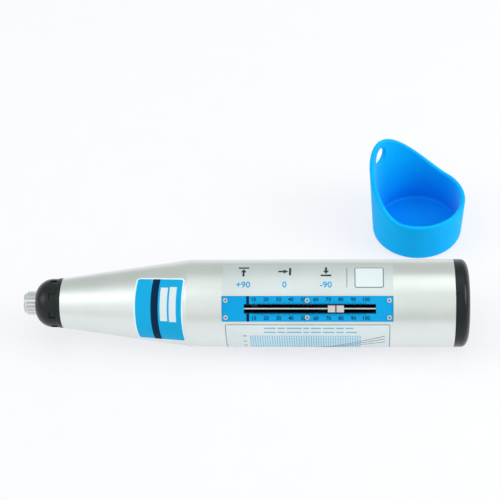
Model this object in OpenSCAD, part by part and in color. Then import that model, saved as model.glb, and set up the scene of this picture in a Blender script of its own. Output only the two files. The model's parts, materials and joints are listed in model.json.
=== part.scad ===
// Concrete test hammer, lying on its barrel, with its slip-on protective cap standing behind it.
// Millimetres, +Z up, the floor at z = 0 and the origin under the middle of the whole part.
// The hammer is drawn upright along +Z, tip at z = 0 and scale facing -Y, and laid down by lay_down().

/* [Housing] */
// Outside diameter of the barrel
barrel_d = 54; // [52:0.5:60]
// Wall of the barrel and the cone
housing_wall = 4; // [3.5:0.25:4.5]
// Length of the cone between the nose cap and the barrel
cone_l = 79.8; // [72:0.2:88]
// Diameter of the cone where it meets the nose cap
cone_nose_d = 31.2; // [30:0.2:34]
// Wall of the threaded spigot under the nose cap
spigot_wall = 1.4; // [1.2:0.1:1.8]
// Tilt of the scale above the horizontal, as the hammer lies
scale_tilt = 39.5; // [20:0.5:60]

/* [Nose] */
// Length of the nose cap
nose_cap_l = 16.6; // [16:0.2:22]
// Wall of the nose cap over the spigot
nose_wall = 2.4; // [2:0.1:2.6]
// Thickness of the front face of the nose cap
nose_face_t = 3; // [2:0.25:4]
// Width of the flat ring round the hole in the front face
nose_face_ring = 1.4; // [1:0.1:2]
// Length of the plain collar at the rear of the nose cap
nose_collar_l = 3; // [2:0.5:5]
// Length of the plain band between the domed front and the collar
nose_band_l = 3.6; // [2:0.2:5]
// Step from the collar down to the band
nose_step = 0.4; // [0.2:0.1:0.8]
// Number of spanner notches round the nose cap
nose_notch_n = 8; // [4:1:10]
// Width of a spanner notch
nose_notch_w = 4.6; // [2.5:0.1:5]
// Length of a spanner notch
nose_notch_l = 4; // [3:0.5:6]
// Depth of a spanner notch
nose_notch_depth = 0.8; // [0.5:0.1:1.1]
// Length of the felt ring
felt_l = 3.5; // [2.5:0.25:5]
// Width of the felt ring, inside to outside
felt_w = 3.2; // [2.5:0.1:4]
// Thickness of the split ring
ring_t = 2; // [1.5:0.25:3]
// Gap in the split ring
ring_gap = 2; // [1:0.5:4]
// How far the spring seat reaches behind the nose cap
seat_depth = 8.7; // [7:0.1:11]
// Wall of the sleeve that the impact spring grips
sleeve_wall = 1; // [0.8:0.1:1.2]
// Length of that sleeve
sleeve_l = 4; // [3:0.5:6]
// Length of the lip that holds the spring seat
lip_l = 2; // [1.5:0.25:3]

/* [Plunger] */
// How far the locked plunger stands out of the nose cap
tip_out = 8; // [6:0.5:12]
// Diameter of the fluted tip
tip_d = 14.6; // [13:0.2:14.6]
// Radius of the domed end of the tip
tip_dome_r = 25; // [20:1:30]
// Bevel round the end of the tip
tip_bevel = 1.2; // [0.8:0.2:2]
// Number of flutes on the tip
flute_n = 18; // [12:1:20]
// Diameter of the cutter that makes a flute
flute_d = 1.2; // [0.8:0.1:1.5]
// Depth of a flute
flute_depth = 0.55; // [0.2:0.05:0.6]
// How far the tip runs into the nose cap
tip_hidden_l = 1.6; // [1:0.2:2.4]
// Diameter of the plunger
plunger_d = 15; // [14.8:0.1:16]
// Stroke of the plunger and of the hammer mass
stroke = 75; // [65:1:85]
// Step from the plunger out to its collar
collar_step = 0.9; // [0.6:0.1:1.2]
// Length of the collar
collar_l = 3.6; // [3:0.2:5]
// Diameter of the guide rod
rod_d = 8; // [7:0.5:9]
// Length of the guide rod inside the plunger
rod_engage = 19; // [15:1:25]
// Length of the buffer spring in front of the guide rod
buffer_l = 10; // [8:1:14]

/* [Hammer mass] */
// Length of the neck that the impact spring grips
mass_neck_l = 6; // [5:0.5:8]
// Length of the body of the mass
mass_body_l = 35; // [32:1:42]
// Room round the mass for the pointer
pointer_room = 4.6; // [4.2:0.2:6]
// Length of the groove that the hook drops into
mass_groove_l = 6; // [5.6:0.2:8]
// Diameter of that groove
mass_groove_d = 14.4; // [13:0.4:16]
// Length of the lip that the hook pulls
mass_lip_l = 4; // [3:0.5:5]
// Diameter of that lip
mass_lip_d = 18.6; // [18:0.2:19.4]

/* [Flange and hook] */
// Room between the cocked mass and the guide flange
hook_room = 8.7; // [8:0.1:12]
// Thickness of the guide flange
flange_l = 8; // [6:0.5:10]
// Thickness of the nut on the guide rod
rod_nut_l = 4; // [3:0.5:5]
// Width across the flats of that nut
rod_nut_af = 11; // [10:0.5:12]
// Height of the hook pin behind the flange
hook_pin_back = 5; // [4.6:0.2:6]
// Distance of the hook pin from the hammer's axis
hook_pin_h = 12; // [11.6:0.1:12.4]
// Diameter of the hook pin
hook_pin_d = 3; // [2.4:0.2:3.4]
// Thickness of the hook
hook_t = 4; // [3:0.25:5]
// Width of the hook's long arm
hook_arm_w = 3; // [2.5:0.25:3.5]
// Length of the hook's tooth along the hammer
hook_tooth_l = 3.6; // [3:0.2:4]
// How far the tooth reaches behind the edge of the mass's lip
hook_catch = 1.1; // [0.8:0.1:1.4]
// Gap between the hook's long arm and that lip
hook_arm_gap = 0.9; // [0.6:0.1:1.2]
// Slack between the tooth and the lip of the cocked mass
hook_slack = 1.2; // [0.6:0.1:1.6]
// Diameter of the hook's eye
hook_eye_d = 7; // [6:0.5:8]
// Thickness of the hook's short arm, which the zero screw trips
hook_trip_t = 3; // [2:0.25:4]
// Distance of the short arm behind the hook pin
hook_trip_back = 1.5; // [1.3:0.1:2]
// Room in the flange for the swing of the long arm
hook_swing_room = 2; // [1.6:0.1:2.6]
// Room beside the hook for its spring
hook_spring_room = 3.2; // [3:0.1:4]
// Thickness of a hook ear
ear_t = 2.5; // [2:0.25:3]

/* [Springs] */
// Wire of the impact spring
impact_wire = 1.6; // [1.2:0.1:1.8]
// Turns of the impact spring
impact_turns = 9; // [7:0.5:12]
// Wire of the pressure spring
pressure_wire = 2; // [1.6:0.1:2.2]
// Turns of the pressure spring
pressure_turns = 7.5; // [6:0.5:8]
// Mean diameter of the pressure spring
pressure_d = 38; // [37.5:0.1:38.6]
// Length of the pressure spring with the plunger locked in
pressure_l = 22; // [21:0.5:30]
// Wire of the buffer spring
buffer_wire = 1; // [0.8:0.1:1.2]
// Turns of the buffer spring
buffer_turns = 5; // [4:0.5:6]
// Wire of the hook spring
hook_wire = 0.6; // [0.4:0.1:0.8]
// Turns of the hook spring
hook_turns = 2; // [1.5:0.5:2.5]
// Wire of the button spring
button_wire = 0.5; // [0.4:0.1:0.6]
// Turns of the button spring
button_turns = 3; // [2.5:0.5:4]

/* [Scale] */
// Start of the scale plate behind the start of the barrel
plate_from = 21.8; // [20:0.2:30]
// Width of the scale plate
plate_w = 15.4; // [14:0.2:16.4]
// Thickness of the scale plate
plate_t = 0.8; // [0.6:0.1:1.2]
// Depth of the flat under the scale plate, below the top of the barrel
flat_depth = 1.6; // [1.4:0.1:1.9]
// Length of the plate in front of its slot
plate_front_l = 13.3; // [12:0.1:16]
// Length of the plate behind its slot
plate_back_l = 10.3; // [9:0.1:14]
// Width of the slot in the plate
slot_w = 5.2; // [5:0.1:6]
// Spare length at each end of the slot
slot_end_room = 1.2; // [0.6:0.1:2]
// First reading on the scale
reading_first = 10; // [0:5:20]
// Last reading on the scale
reading_last = 100; // [80:5:100]
// Reading that the pointer stands at
reading = 76; // [10:1:100]
// Diameter of the pointer shaft
shaft_d = 1.3; // [1:0.1:2]
// Length of each end of the shaft in its groove
shaft_end_l = 6; // [4:0.5:8]
// Length of the pointer block
rider_l = 9.6; // [8:0.2:11]
// Width of the pointer block in the slot
rider_w = 4.1; // [3.6:0.1:4.4]
// Width of the foot of the pointer block inside the barrel
rider_foot_w = 7.6; // [6.6:0.2:8.4]
// How far the pointer block stands above the scale plate
rider_proud = 0.3; // [0:0.1:0.6]
// Width of the line on the pointer block
hairline_w = 0.9; // [0.6:0.1:1.2]
// Depth of the line on the pointer block
hairline_depth = 0.4; // [0.3:0.1:0.6]
// Thickness of the pointer leaf
leaf_t = 0.4; // [0.3:0.1:0.6]
// Width of the pointer leaf
leaf_w = 5; // [4:0.25:6]
// Length of the pointer leaf
leaf_l = 16; // [12:1:20]
// Distance of the plate screws from the ends of the plate
screw_end_gap = 2.3; // [1.9:0.1:3]
// Distance of the plate screws from the middle of the plate
screw_side = 5.2; // [4.6:0.1:6]
// Head diameter of a plate screw
screw_head_d = 2.8; // [2.4:0.1:3]
// Height of the head of a plate screw
screw_head_h = 0.5; // [0.3:0.1:0.7]
// Thread diameter of a plate screw
screw_d = 1.6; // [1.2:0.1:1.8]
// Length of a plate screw in the barrel
screw_grip = 1.4; // [1:0.1:1.6]
// Width of the slit in a screw head
screw_slit_w = 0.4; // [0.3:0.05:0.6]

/* [Labels] */
// Thickness of a label
label_t = 0.15; // [0.1:0.05:0.3]
// Start of the name label behind the nose cap
name_from = 47.2; // [40:0.1:50]
// Length of the name label
name_l = 30.5; // [20:0.5:34]
// Angle that the name label spans
name_span = 103; // [80:1:120]
// Angle of the middle of the name label below the scale
name_turn = 5.8; // [-10:0.2:20]
// Gap from the end of the scale plate to the end of the chart label
chart_end_gap = 1.6; // [0.5:0.1:4]
// Angle of the upper edge of the chart label below the scale
chart_from = 20.5; // [19:0.5:30]
// Angle that the chart label spans
chart_span = 86; // [60:1:90]
// Angle of the lower edge of the title film above the scale
film_from = 18.5; // [18:0.5:30]
// Angle that the title film spans
film_span = 48; // [30:1:60]

/* [Tail] */
// Length of the tail cap outside the barrel
tail_cap_l = 9; // [7:0.5:14]
// Length of the rounding at the end of the tail cap
tail_round_l = 4.6; // [2:0.2:6]
// Width of the rounding at the end of the tail cap
tail_round_w = 6.8; // [3:0.2:10]
// Length of the tail cap's threaded spigot
tail_spigot_l = 12; // [9:0.5:16]
// Step from the bore out to the tail cap's thread
tail_thread_step = 1.1; // [0.8:0.1:1.5]
// Wall of the tail cap's spigot
tail_spigot_wall = 3.4; // [2.5:0.1:3.6]
// Thickness of the tail cap where the pressure spring rests, inside the barrel
tail_floor_l = 6; // [5:0.5:8]
// Diameter of the boss round the zero screw
tail_boss_d = 16; // [12:0.5:18]
// Length of that boss inside the tail cap
tail_boss_l = 6; // [4:0.5:7]
// Diameter of the recess round the lock nut
tail_recess_d = 19; // [17:0.5:22]
// Depth of that recess
tail_recess_depth = 4.4; // [4:0.2:6]
// Diameter of the zero screw
zero_screw_d = 6; // [5:0.5:8]
// Slack between the zero screw and the hook
zero_slack = 0.6; // [0.4:0.1:1]
// Width across the flats of the lock nut
lock_nut_af = 10; // [9:0.5:12]
// Thickness of the lock nut
lock_nut_l = 3.2; // [2.5:0.1:3.6]
// Width of the slit in the zero screw
zero_slit_w = 1; // [0.6:0.1:1.4]
// Depth of the slit in the zero screw
zero_slit_depth = 0.6; // [0.4:0.1:1.4]

/* [Button] */
// Travel of the lock button
button_travel = 2.5; // [2:0.1:3]
// Diameter of the button's head
button_d = 9; // [8:0.5:10]
// Height of the button above its bush
button_out = 2.8; // [2.6:0.1:4]
// Depth of the button's head inside its bush
button_sunk = 1.2; // [0.8:0.1:1.6]
// Height of the button's dome
button_dome = 0.8; // [0.4:0.1:1.2]
// Diameter of the button's stem
button_stem_d = 4.8; // [4:0.1:5.2]
// How far the stem reaches below the bush
button_reach = 3.4; // [3:0.1:4]
// Length of the button's spring
button_spring_l = 4; // [3.8:0.1:5]
// Thickness of the ledge that the button's spring rests on
button_ledge_t = 1.5; // [1:0.1:2]
// Wall of the button's bush
button_bush_wall = 1; // [0.8:0.1:1.4]
// Depth of the flat under the bush's collar
button_flat_depth = 0.8; // [0.6:0.1:1.2]
// Thickness of the bush's collar
button_collar_t = 1.6; // [1.2:0.1:2]
// Width of the bush's collar round the bush
button_collar_w = 1.6; // [1:0.1:2]
// Thickness of the clip on the button's stem
clip_t = 0.8; // [0.6:0.1:1]
// Width of that clip
clip_w = 1.6; // [1:0.1:1.8]
// Width of the opening in that clip
clip_mouth_w = 2.4; // [1.6:0.1:3]

/* [Protective cap] */
// Distance of the cap's axis in front of the hammer's tail end
cap_tail_gap = 26.8; // [20:0.1:60]
// Distance of the cap's axis behind the hammer's axis
cap_back = 94; // [80:0.5:110]
// Thickness of the cap's floor
cap_floor_t = 3; // [2:0.25:5]
// Depth of the seat that grips the tail
cap_seat_l = 9; // [6:0.5:12]
// Rounding between the floor and the seat of the protective cap
cap_fillet_r = 4.4; // [2:0.2:5]
// Wall of the cap
cap_wall = 3; // [2:0.1:3.5]
// Draft of the cap's wall
cap_draft = 2.9; // [1:0.1:4]
// Rounding round the foot of the cap
cap_foot_r = 1.6; // [0.6:0.1:1.8]
// Height of the cap's low rim
cap_rim_h = 29.4; // [22:0.2:34]
// Height of the cap's hanging tab
cap_tab_h = 61.5; // [54:0.5:70]
// Length of the tab's level top, inwards from its outer edge
cap_tab_land = 1.2; // [1:0.1:3]
// Start of the climb to the tab, on the far side of the cap's axis
cap_climb_from = 5.2; // [2:0.2:16]
// How sharply the climb steepens towards the tab
cap_climb_power = 2; // [1.6:0.1:3]
// Direction of the tab from +X
cap_tab_dir = 149; // [90:1:180]
// Diameter of the hang hole in the tab
hang_hole_d = 12; // [8:0.5:13]
// Distance of the hang hole below the top of the tab
hang_hole_drop = 10.5; // [9:0.5:13]

/* [Clearances] */
// Gap of a part that slides, each side
run_clear = 0.2; // [0.15:0.05:0.3]
// Gap of a part that is screwed or seated in another, each side
seat_clear = 0.1; // [0.05:0.01:0.15]
// Gap under a glued label
glue_gap = 0.02; // [0.01:0.01:0.05]
// Gap between two parts that meet end to end and move apart
stop_gap = 0.3; // [0.2:0.05:0.4]
// Gap of a part that passes another without guiding it
pass_gap = 0.4; // [0.3:0.1:0.6]
// Gap between the protective cap and the tail it grips
cap_clear = 0.2; // [0.1:0.05:0.3]

/* [Hidden] */
$fn = 96;
// Overshoot of a cut past the face it opens
cut = 1;
// Rings of wire in one turn of a coil, and how far the flats between them dip inwards
coil_rings = 16;
coil_dip = cos(180 / coil_rings);

// Radii of the housing and the nose
barrel_r = barrel_d / 2;
bore_r = barrel_r - housing_wall;
nose_r = cone_nose_d / 2;
spigot_r = nose_r - nose_wall - seat_clear;
front_bore_r = spigot_r - spigot_wall;
plunger_r = plunger_d / 2;
tip_r = tip_d / 2;
collar_r = plunger_r + collar_step;
sleeve_in_r = collar_r + run_clear;
sleeve_out_r = sleeve_in_r + sleeve_wall;
impact_r = (sleeve_out_r + seat_clear + impact_wire / 2) / coil_dip;
lip_r = impact_r + impact_wire / 2 + pass_gap;
felt_in_r = plunger_r + seat_clear;
felt_out_r = felt_in_r + felt_w;
rod_r = rod_d / 2;

// Stations along the hammer, from the tip to the tail
nose_front = tip_out;
felt_front = nose_front + nose_face_t;
felt_back = felt_front + felt_l;
ring_front = felt_back + seat_clear;
ring_back = ring_front + ring_t;
cone_start = nose_front + nose_cap_l;
seat_back = cone_start + seat_depth;
barrel_start = cone_start + cone_l;
collar_front = ring_back + stop_gap + stroke;
plunger_back = collar_front + collar_l;
mass_front = plunger_back + stop_gap;
mass_body_front = mass_front + mass_neck_l;
mass_shoulder = mass_body_front + mass_body_l;
mass_lip_front = mass_shoulder + mass_groove_l;
mass_back = mass_lip_front + mass_lip_l;
flange_front = mass_back + stroke + hook_room;
flange_back = flange_front + flange_l;
pressure_seat = flange_back + pressure_l;
barrel_end = pressure_seat + tail_floor_l;
tail_end = barrel_end + tail_cap_l;

// Nose cap: hole, and a domed front that runs from its face to its band
spigot_front = ring_back + seat_clear;
nose_hole_r = plunger_r + run_clear;
nose_collar_start = cone_start - nose_collar_l;
nose_band_start = nose_collar_start - nose_band_l;
dome_end_r = nose_r - nose_step;
dome_w = dome_end_r - nose_hole_r - nose_face_ring;
dome_l = nose_band_start - nose_front;
dome_r = (pow(dome_w, 2) + pow(dome_l, 2)) / (2 * dome_w);
dome_turn = atan2(dome_l, dome_r - dome_w);
dome_n = 10;

// Plunger and guide rod
tip_l = tip_out + tip_hidden_l;
rod_front = plunger_back - rod_engage;
rod_bore_r = rod_r + seat_clear;
buffer_front = rod_front - buffer_l;
rod_back = flange_back + rod_nut_l + seat_clear;

// Hammer mass
mass_r = bore_r - pointer_room;
mass_neck_r = sleeve_out_r;
mass_groove_r = mass_groove_d / 2;
mass_lip_r = mass_lip_d / 2;

// Hook, in its plane: heights from the hammer's axis and stations along it
hook_pin_s = flange_back + hook_pin_back;
hook_pin_r = hook_pin_d / 2;
hook_arm_in = mass_lip_r + hook_arm_gap;
hook_arm_out = hook_arm_in + hook_arm_w;
hook_tooth_in = mass_lip_r - hook_catch;
hook_tooth_back = mass_lip_front + stroke - hook_slack;
hook_tooth_front = hook_tooth_back - hook_tooth_l;
hook_trip_s = hook_pin_s + hook_trip_back;
ear_gap_near = hook_t / 2 + run_clear;
ear_gap_far = hook_t / 2 + hook_spring_room;
ear_w = hook_eye_d;
hook_side = 180;
hook_spring_r = (hook_pin_r + seat_clear + hook_wire / 2) / coil_dip;

// Guide flange
flange_r = bore_r - run_clear;

// Scale plate, slot, shaft and pointer
division = stroke / 100;
scale_l = (reading_last - reading_first) * division;
slot_l = scale_l + rider_l + 2 * slot_end_room;
plate_l = plate_front_l + slot_l + plate_back_l;
plate_start = barrel_start + plate_from;
plate_end = plate_start + plate_l;
slot_start = plate_start + plate_front_l;
slot_end = slot_start + slot_l;
flat_h = barrel_r - flat_depth;
plate_top = flat_h + plate_t;
shaft_r = shaft_d / 2;
shaft_h = flat_h - shaft_r - seat_clear;
rider_s = slot_start + slot_end_room + rider_l / 2 + (reading - reading_first) * division;
rider_top = plate_top + rider_proud;
leaf_h = mass_r + pass_gap;
rider_foot_h = leaf_h + leaf_t;
rider_foot_top = bore_r - pass_gap - (bore_r - sqrt(pow(bore_r, 2) - pow(rider_foot_w / 2, 2)));
screw_stations = [plate_start + screw_end_gap, (plate_start + plate_end) / 2, plate_end - screw_end_gap];
scale_side = -90;

// Tail cap and zero screw
tail_thread_r = bore_r + tail_thread_step;
tail_spigot_front = barrel_end - tail_spigot_l;
zero_screw_r = zero_screw_d / 2;
zero_tip = hook_trip_s + hook_trip_t + zero_slack;
recess_floor = tail_end - tail_recess_depth;
tail_round_n = 8;

// Lock button: stations from the hammer's axis outwards
button_side = 90;
button_r = button_d / 2;
stem_r = button_stem_d / 2;
button_s = flange_front - stem_r - stop_gap;
button_seat_h = barrel_r - button_flat_depth;
bush_top = button_seat_h + button_collar_t;
bush_bore_r = button_r + seat_clear;
bush_r = bush_bore_r + button_bush_wall;
bush_collar_r = bush_r + button_collar_w;
button_top = bush_top + button_out;
button_under = bush_top - button_sunk;
ledge_top = button_under - button_spring_l;
bush_bottom = ledge_top - button_ledge_t;
stem_bottom = bush_bottom - button_reach;
clip_top = bush_bottom - run_clear;
clip_bottom = clip_top - clip_t;
clip_r = stem_r + clip_w;

// Protective cap
cap_seat_r = barrel_r + cap_clear;
cap_seat_top = cap_floor_t + cap_seat_l;
cap_rise = tan(cap_draft);
cap_foot_out_r = cap_seat_r + cap_wall - cap_seat_top * cap_rise;
hang_hole_h = cap_tab_h - hang_hole_drop;
cap_arc_n = 8;
cap_climb_n = 12;

// Place of the hammer and the cap in the part's frame
part_l = max(tail_end, tail_end - cap_tail_gap + cap_out_r(cap_rim_h));
tip_x = -part_l / 2;
part_depth = barrel_r + cap_back + cap_out_r(cap_rim_h);
axis_y = barrel_r - part_depth / 2;
cap_x = tip_x + tail_end - cap_tail_gap;
cap_y = axis_y + cap_back;

// Outside radius of the cone at a station
function cone_r(s) = nose_r + (barrel_r - nose_r) * (s - cone_start) / cone_l;

// Outside radius of the nose cap's domed front and its band at a station
function nose_dome_r(s) =
    dome_end_r - dome_r + sqrt(pow(dome_r, 2) - pow(max(0, nose_band_start - s), 2));

// Outside radius of the protective cap at a height
function cap_out_r(z) = cap_foot_out_r + z * cap_rise;

// Points of an arc round a centre, from one angle to another
function arc(centre, radius, from, to, steps) = [
    for (i = [0:steps])
        let (a = from + (to - from) * i / steps)
        centre + radius * [cos(a), sin(a)]
];

// Points round one turn of wire at a place along a coil
function wire_ring(mean_r, wire_r, turn, height, lean, sides) = [
    for (k = [0:sides - 1])
        let (
            a = 360 * k / sides,
            out = [cos(turn), sin(turn), 0],
            up = [sin(turn) * sin(lean), -cos(turn) * sin(lean), cos(lean)]
        )
        mean_r * out + [0, 0, height] + wire_r * (cos(a) * out + sin(a) * up)
];

// Stands the upright hammer on its barrel, scale towards the front and raised
module lay_down() {
    translate([tip_x, axis_y, barrel_r])
        rotate([-scale_tilt, 0, 0])
            rotate([0, 90, 0])
                children();
}

// A ring along the hammer's axis between two stations
module tube(outer, inner, from, to) {
    translate([0, 0, from])
        difference() {
            cylinder(r = outer, h = to - from);
            translate([0, 0, -cut])
                cylinder(r = inner, h = to - from + 2 * cut);
        }
}

// A rod along the hammer's axis between two stations
module rod(radius, from, to) {
    translate([0, 0, from])
        cylinder(r = radius, h = to - from);
}

// Turns a shape drawn along +Z to point outwards on one side of the hammer at a station
module outward(side, station) {
    rotate([0, 0, side])
        translate([0, 0, station])
            rotate([0, 90, 0])
                children();
}

// A flat plate on one side of the hammer: height from the axis across, station up
module side_plate(side, thickness, shift = 0) {
    rotate([0, 0, side])
        translate([0, shift, 0])
            rotate([90, 0, 0])
                linear_extrude(thickness, center = true)
                    children();
}

// A rectangle in such a plate
module span(low, high, from, to) {
    translate([low, from])
        square([high - low, to - from]);
}

// A coil spring along +Z, with its wire's centre line from one height to another
module coil(mean_r, wire_d, turns, from, to) {
    sides = 6;
    rings = ceil(turns * coil_rings);
    lean = atan((to - from) / (turns * 2 * PI * mean_r));
    points = [
        for (i = [0:rings])
            let (
                turn = 360 * turns * i / rings,
                height = from + (to - from) * i / rings
            )
            each wire_ring(mean_r, wire_d / 2, turn, height, lean, sides)
    ];
    last = rings * sides;
    faces = [
        for (i = [0:rings - 1], k = [0:sides - 1])
            let (
                a = i * sides + k,
                b = i * sides + (k + 1) % sides
            )
            each [[a, b, b + sides], [a, b + sides, a + sides]],
        for (k = [1:sides - 2]) [0, k + 1, k],
        for (k = [1:sides - 2]) [last, last + k, last + k + 1]
    ];
    polyhedron(points, faces);
}

// A hexagon nut along the hammer's axis
module hex_nut(across, inner, from, to) {
    translate([0, 0, from])
        difference() {
            cylinder(r = across / 2 / cos(30), h = to - from, $fn = 6);
            translate([0, 0, -cut])
                cylinder(r = inner, h = to - from + 2 * cut);
        }
}

// A label glued round the hammer between two stations, from an angle below the scale
module wrap_label(from, to, r_from, r_to, turn_from, turn_span) {
    inner_from = r_from + glue_gap;
    inner_to = r_to + glue_gap;
    rotate([0, 0, scale_side + turn_from])
        rotate_extrude(angle = turn_span)
            polygon([
                [inner_from, from],
                [inner_from + label_t, from],
                [inner_to + label_t, to],
                [inner_to, to]
            ]);
}

// Centre lines of the six plate screws
module at_plate_screws() {
    for (s = screw_stations, side = [-1, 1])
        rotate([0, 0, scale_side])
            translate([0, side * screw_side, s])
                rotate([0, 90, 0])
                    children();
}

// Turned shell: spigot, cone and barrel, with the scale flat, the slot and the button's seat
module housing() {
    pocket_w = plate_w + 2 * seat_clear;
    color("gainsboro")
        lay_down()
            difference() {
                rotate_extrude()
                    polygon([
                        [front_bore_r, spigot_front],
                        [spigot_r, spigot_front],
                        [spigot_r, cone_start],
                        [nose_r, cone_start],
                        [barrel_r, barrel_start],
                        [barrel_r, barrel_end],
                        [tail_thread_r + seat_clear, barrel_end],
                        [tail_thread_r + seat_clear, tail_spigot_front - seat_clear],
                        [bore_r, tail_spigot_front - seat_clear],
                        [bore_r, barrel_start],
                        [cone_r(seat_back + lip_l) - housing_wall, seat_back + lip_l],
                        [min(lip_r, front_bore_r), seat_back + lip_l],
                        [min(lip_r, front_bore_r), seat_back],
                        [front_bore_r, seat_back]
                    ]);
                side_plate(scale_side, pocket_w)
                    span(flat_h, barrel_r + cut, plate_start - seat_clear, plate_end + seat_clear);
                side_plate(scale_side, slot_w + 2 * seat_clear)
                    span(bore_r - 2 * cut, flat_h + cut, slot_start - seat_clear, slot_end + seat_clear);
                side_plate(scale_side, shaft_d + 2 * seat_clear)
                    span(
                        shaft_h - shaft_r - seat_clear, flat_h + cut,
                        slot_start - shaft_end_l - seat_clear, slot_end + shaft_end_l + seat_clear
                    );
                at_plate_screws()
                    translate([0, 0, flat_h - screw_grip - seat_clear])
                        cylinder(d = screw_d + 2 * seat_clear, h = screw_grip + cut);
                outward(button_side, button_s) {
                    translate([0, 0, bore_r - 2 * cut])
                        cylinder(r = bush_r + seat_clear, h = housing_wall + 3 * cut);
                    translate([0, 0, button_seat_h])
                        cylinder(r = bush_collar_r + seat_clear, h = button_flat_depth + cut);
                }
            }
}

// Screwed cap over the spigot, with a domed front, spanner notches in its band and a plain collar
module nose_cap() {
    notch_to = nose_collar_start - nose_step / 2;
    notch_from = notch_to - nose_notch_l;
    color([0.16, 0.18, 0.18])
        lay_down()
            difference() {
                rotate_extrude()
                    polygon(concat(
                        [[nose_hole_r, nose_front]],
                        arc([dome_end_r - dome_r, nose_band_start], dome_r, -dome_turn, 0, dome_n),
                        [
                            [dome_end_r, nose_collar_start],
                            [nose_r, nose_collar_start + nose_step],
                            [nose_r, cone_start],
                            [spigot_r + seat_clear, cone_start],
                            [spigot_r + seat_clear, ring_back],
                            [felt_out_r + seat_clear, ring_back],
                            [felt_out_r + seat_clear, felt_front],
                            [nose_hole_r, felt_front]
                        ]
                    ));
                for (i = [0:nose_notch_n - 1])
                    side_plate(360 * (i + 0.5) / nose_notch_n, nose_notch_w)
                        polygon([
                            [nose_dome_r(notch_from) - nose_notch_depth, notch_from],
                            [nose_r + cut, notch_from],
                            [nose_r + cut, notch_to],
                            [nose_dome_r(notch_to) - nose_notch_depth, notch_to]
                        ]);
            }
}

// Felt wiper round the plunger
module felt_ring() {
    color("dimgray")
        lay_down()
            tube(felt_out_r, felt_in_r, felt_front + seat_clear, felt_back - seat_clear);
}

// Split ring that stops the plunger's collar
module split_ring() {
    color("silver")
        lay_down()
            difference() {
                tube(felt_out_r, nose_hole_r, ring_front, ring_back);
                side_plate(hook_side, ring_gap)
                    span(0, felt_out_r + cut, ring_front - cut, ring_back + cut);
            }
}

// Seat that holds the front end of the impact spring
module spring_seat() {
    color("silver")
        lay_down() {
            tube(front_bore_r - seat_clear, sleeve_in_r, spigot_front, seat_back);
            tube(sleeve_out_r, sleeve_in_r, seat_back - seat_clear, seat_back + sleeve_l);
        }
}

// Spring that drives the mass forward
module impact_spring() {
    end_room = impact_wire / 2 + run_clear;
    color("slategray")
        lay_down()
            coil(impact_r, impact_wire, impact_turns, seat_back + end_room, mass_body_front - end_room);
}

// Scale plate with the slot for the pointer
module scale_plate() {
    color([0.1, 0.66, 0.85])
        lay_down()
            difference() {
                side_plate(scale_side, plate_w)
                    span(flat_h, plate_top, plate_start, plate_end);
                side_plate(scale_side, slot_w)
                    span(flat_h - cut, plate_top + cut, slot_start, slot_end);
                at_plate_screws()
                    translate([0, 0, flat_h - cut])
                        cylinder(d = screw_d + 2 * seat_clear, h = plate_t + 2 * cut);
            }
}

// Six slotted screws that hold the scale plate
module plate_screws() {
    color("silver")
        lay_down()
            at_plate_screws()
                difference() {
                    union() {
                        translate([0, 0, flat_h - screw_grip])
                            cylinder(d = screw_d, h = screw_grip + plate_t + screw_head_h / 2);
                        translate([0, 0, plate_top])
                            cylinder(d = screw_head_d, h = screw_head_h);
                    }
                    translate([-screw_head_d, -screw_slit_w / 2, plate_top + screw_head_h / 2])
                        cube([2 * screw_head_d, screw_slit_w, screw_head_h]);
                }
}

// Shaft that the pointer slides on, laid in a groove and held down by the scale plate
module pointer_shaft() {
    color("silver")
        lay_down()
            rotate([0, 0, scale_side])
                translate([shaft_h, 0, 0])
                    rod(shaft_r, slot_start - shaft_end_l, slot_end + shaft_end_l);
}

// Label glued to the cone
module name_label() {
    from = cone_start + name_from;
    to = from + name_l;
    color([0.11, 0.68, 0.87])
        lay_down()
            wrap_label(from, to, cone_r(from), cone_r(to), name_turn - name_span / 2, name_span);
}

// Chart label glued to the barrel below the scale
module chart_label() {
    color("lightsteelblue")
        lay_down()
            wrap_label(
                plate_start + chart_end_gap, plate_end - chart_end_gap,
                barrel_r, barrel_r, chart_from, chart_span
            );
}

// Matt film glued to the barrel above the scale
module title_film() {
    color("lightgray")
        lay_down()
            wrap_label(plate_start, plate_end, barrel_r, barrel_r, -film_from - film_span, film_span);
}

// Screwed cap that closes the tail and carries the pressure spring and the zero screw
module tail_cap() {
    thread_r = zero_screw_r + seat_clear;
    boss_r = tail_boss_d / 2;
    recess_r = tail_recess_d / 2;
    spigot_in_r = tail_thread_r - tail_spigot_wall;
    color([0.17, 0.19, 0.19])
        lay_down()
            rotate_extrude()
                polygon(concat(
                    [
                        [thread_r, pressure_seat - tail_boss_l],
                        [boss_r, pressure_seat - tail_boss_l],
                        [boss_r, pressure_seat],
                        [spigot_in_r, pressure_seat],
                        [spigot_in_r, tail_spigot_front],
                        [tail_thread_r, tail_spigot_front],
                        [tail_thread_r, barrel_end],
                        [barrel_r, barrel_end]
                    ],
                    [
                        for (i = [0:tail_round_n])
                            let (a = 90 * i / tail_round_n)
                            [
                                barrel_r - tail_round_w * (1 - cos(a)),
                                tail_end - tail_round_l * (1 - sin(a))
                            ]
                    ],
                    [
                        [recess_r, tail_end],
                        [recess_r, recess_floor],
                        [thread_r, recess_floor]
                    ]
                ));
}

// Screw that trips the hook at the end of the stroke
module zero_screw() {
    back = recess_floor + lock_nut_l + zero_slit_depth;
    color("darkgray")
        lay_down()
            difference() {
                rod(zero_screw_r, zero_tip, back);
                translate([-zero_screw_d, -zero_slit_w / 2, back - zero_slit_depth])
                    cube([2 * zero_screw_d, zero_slit_w, zero_slit_depth + cut]);
            }
}

// Nut that locks the zero screw
module lock_nut() {
    color("silver")
        lay_down()
            hex_nut(lock_nut_af, zero_screw_r + seat_clear, recess_floor, recess_floor + lock_nut_l);
}

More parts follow.
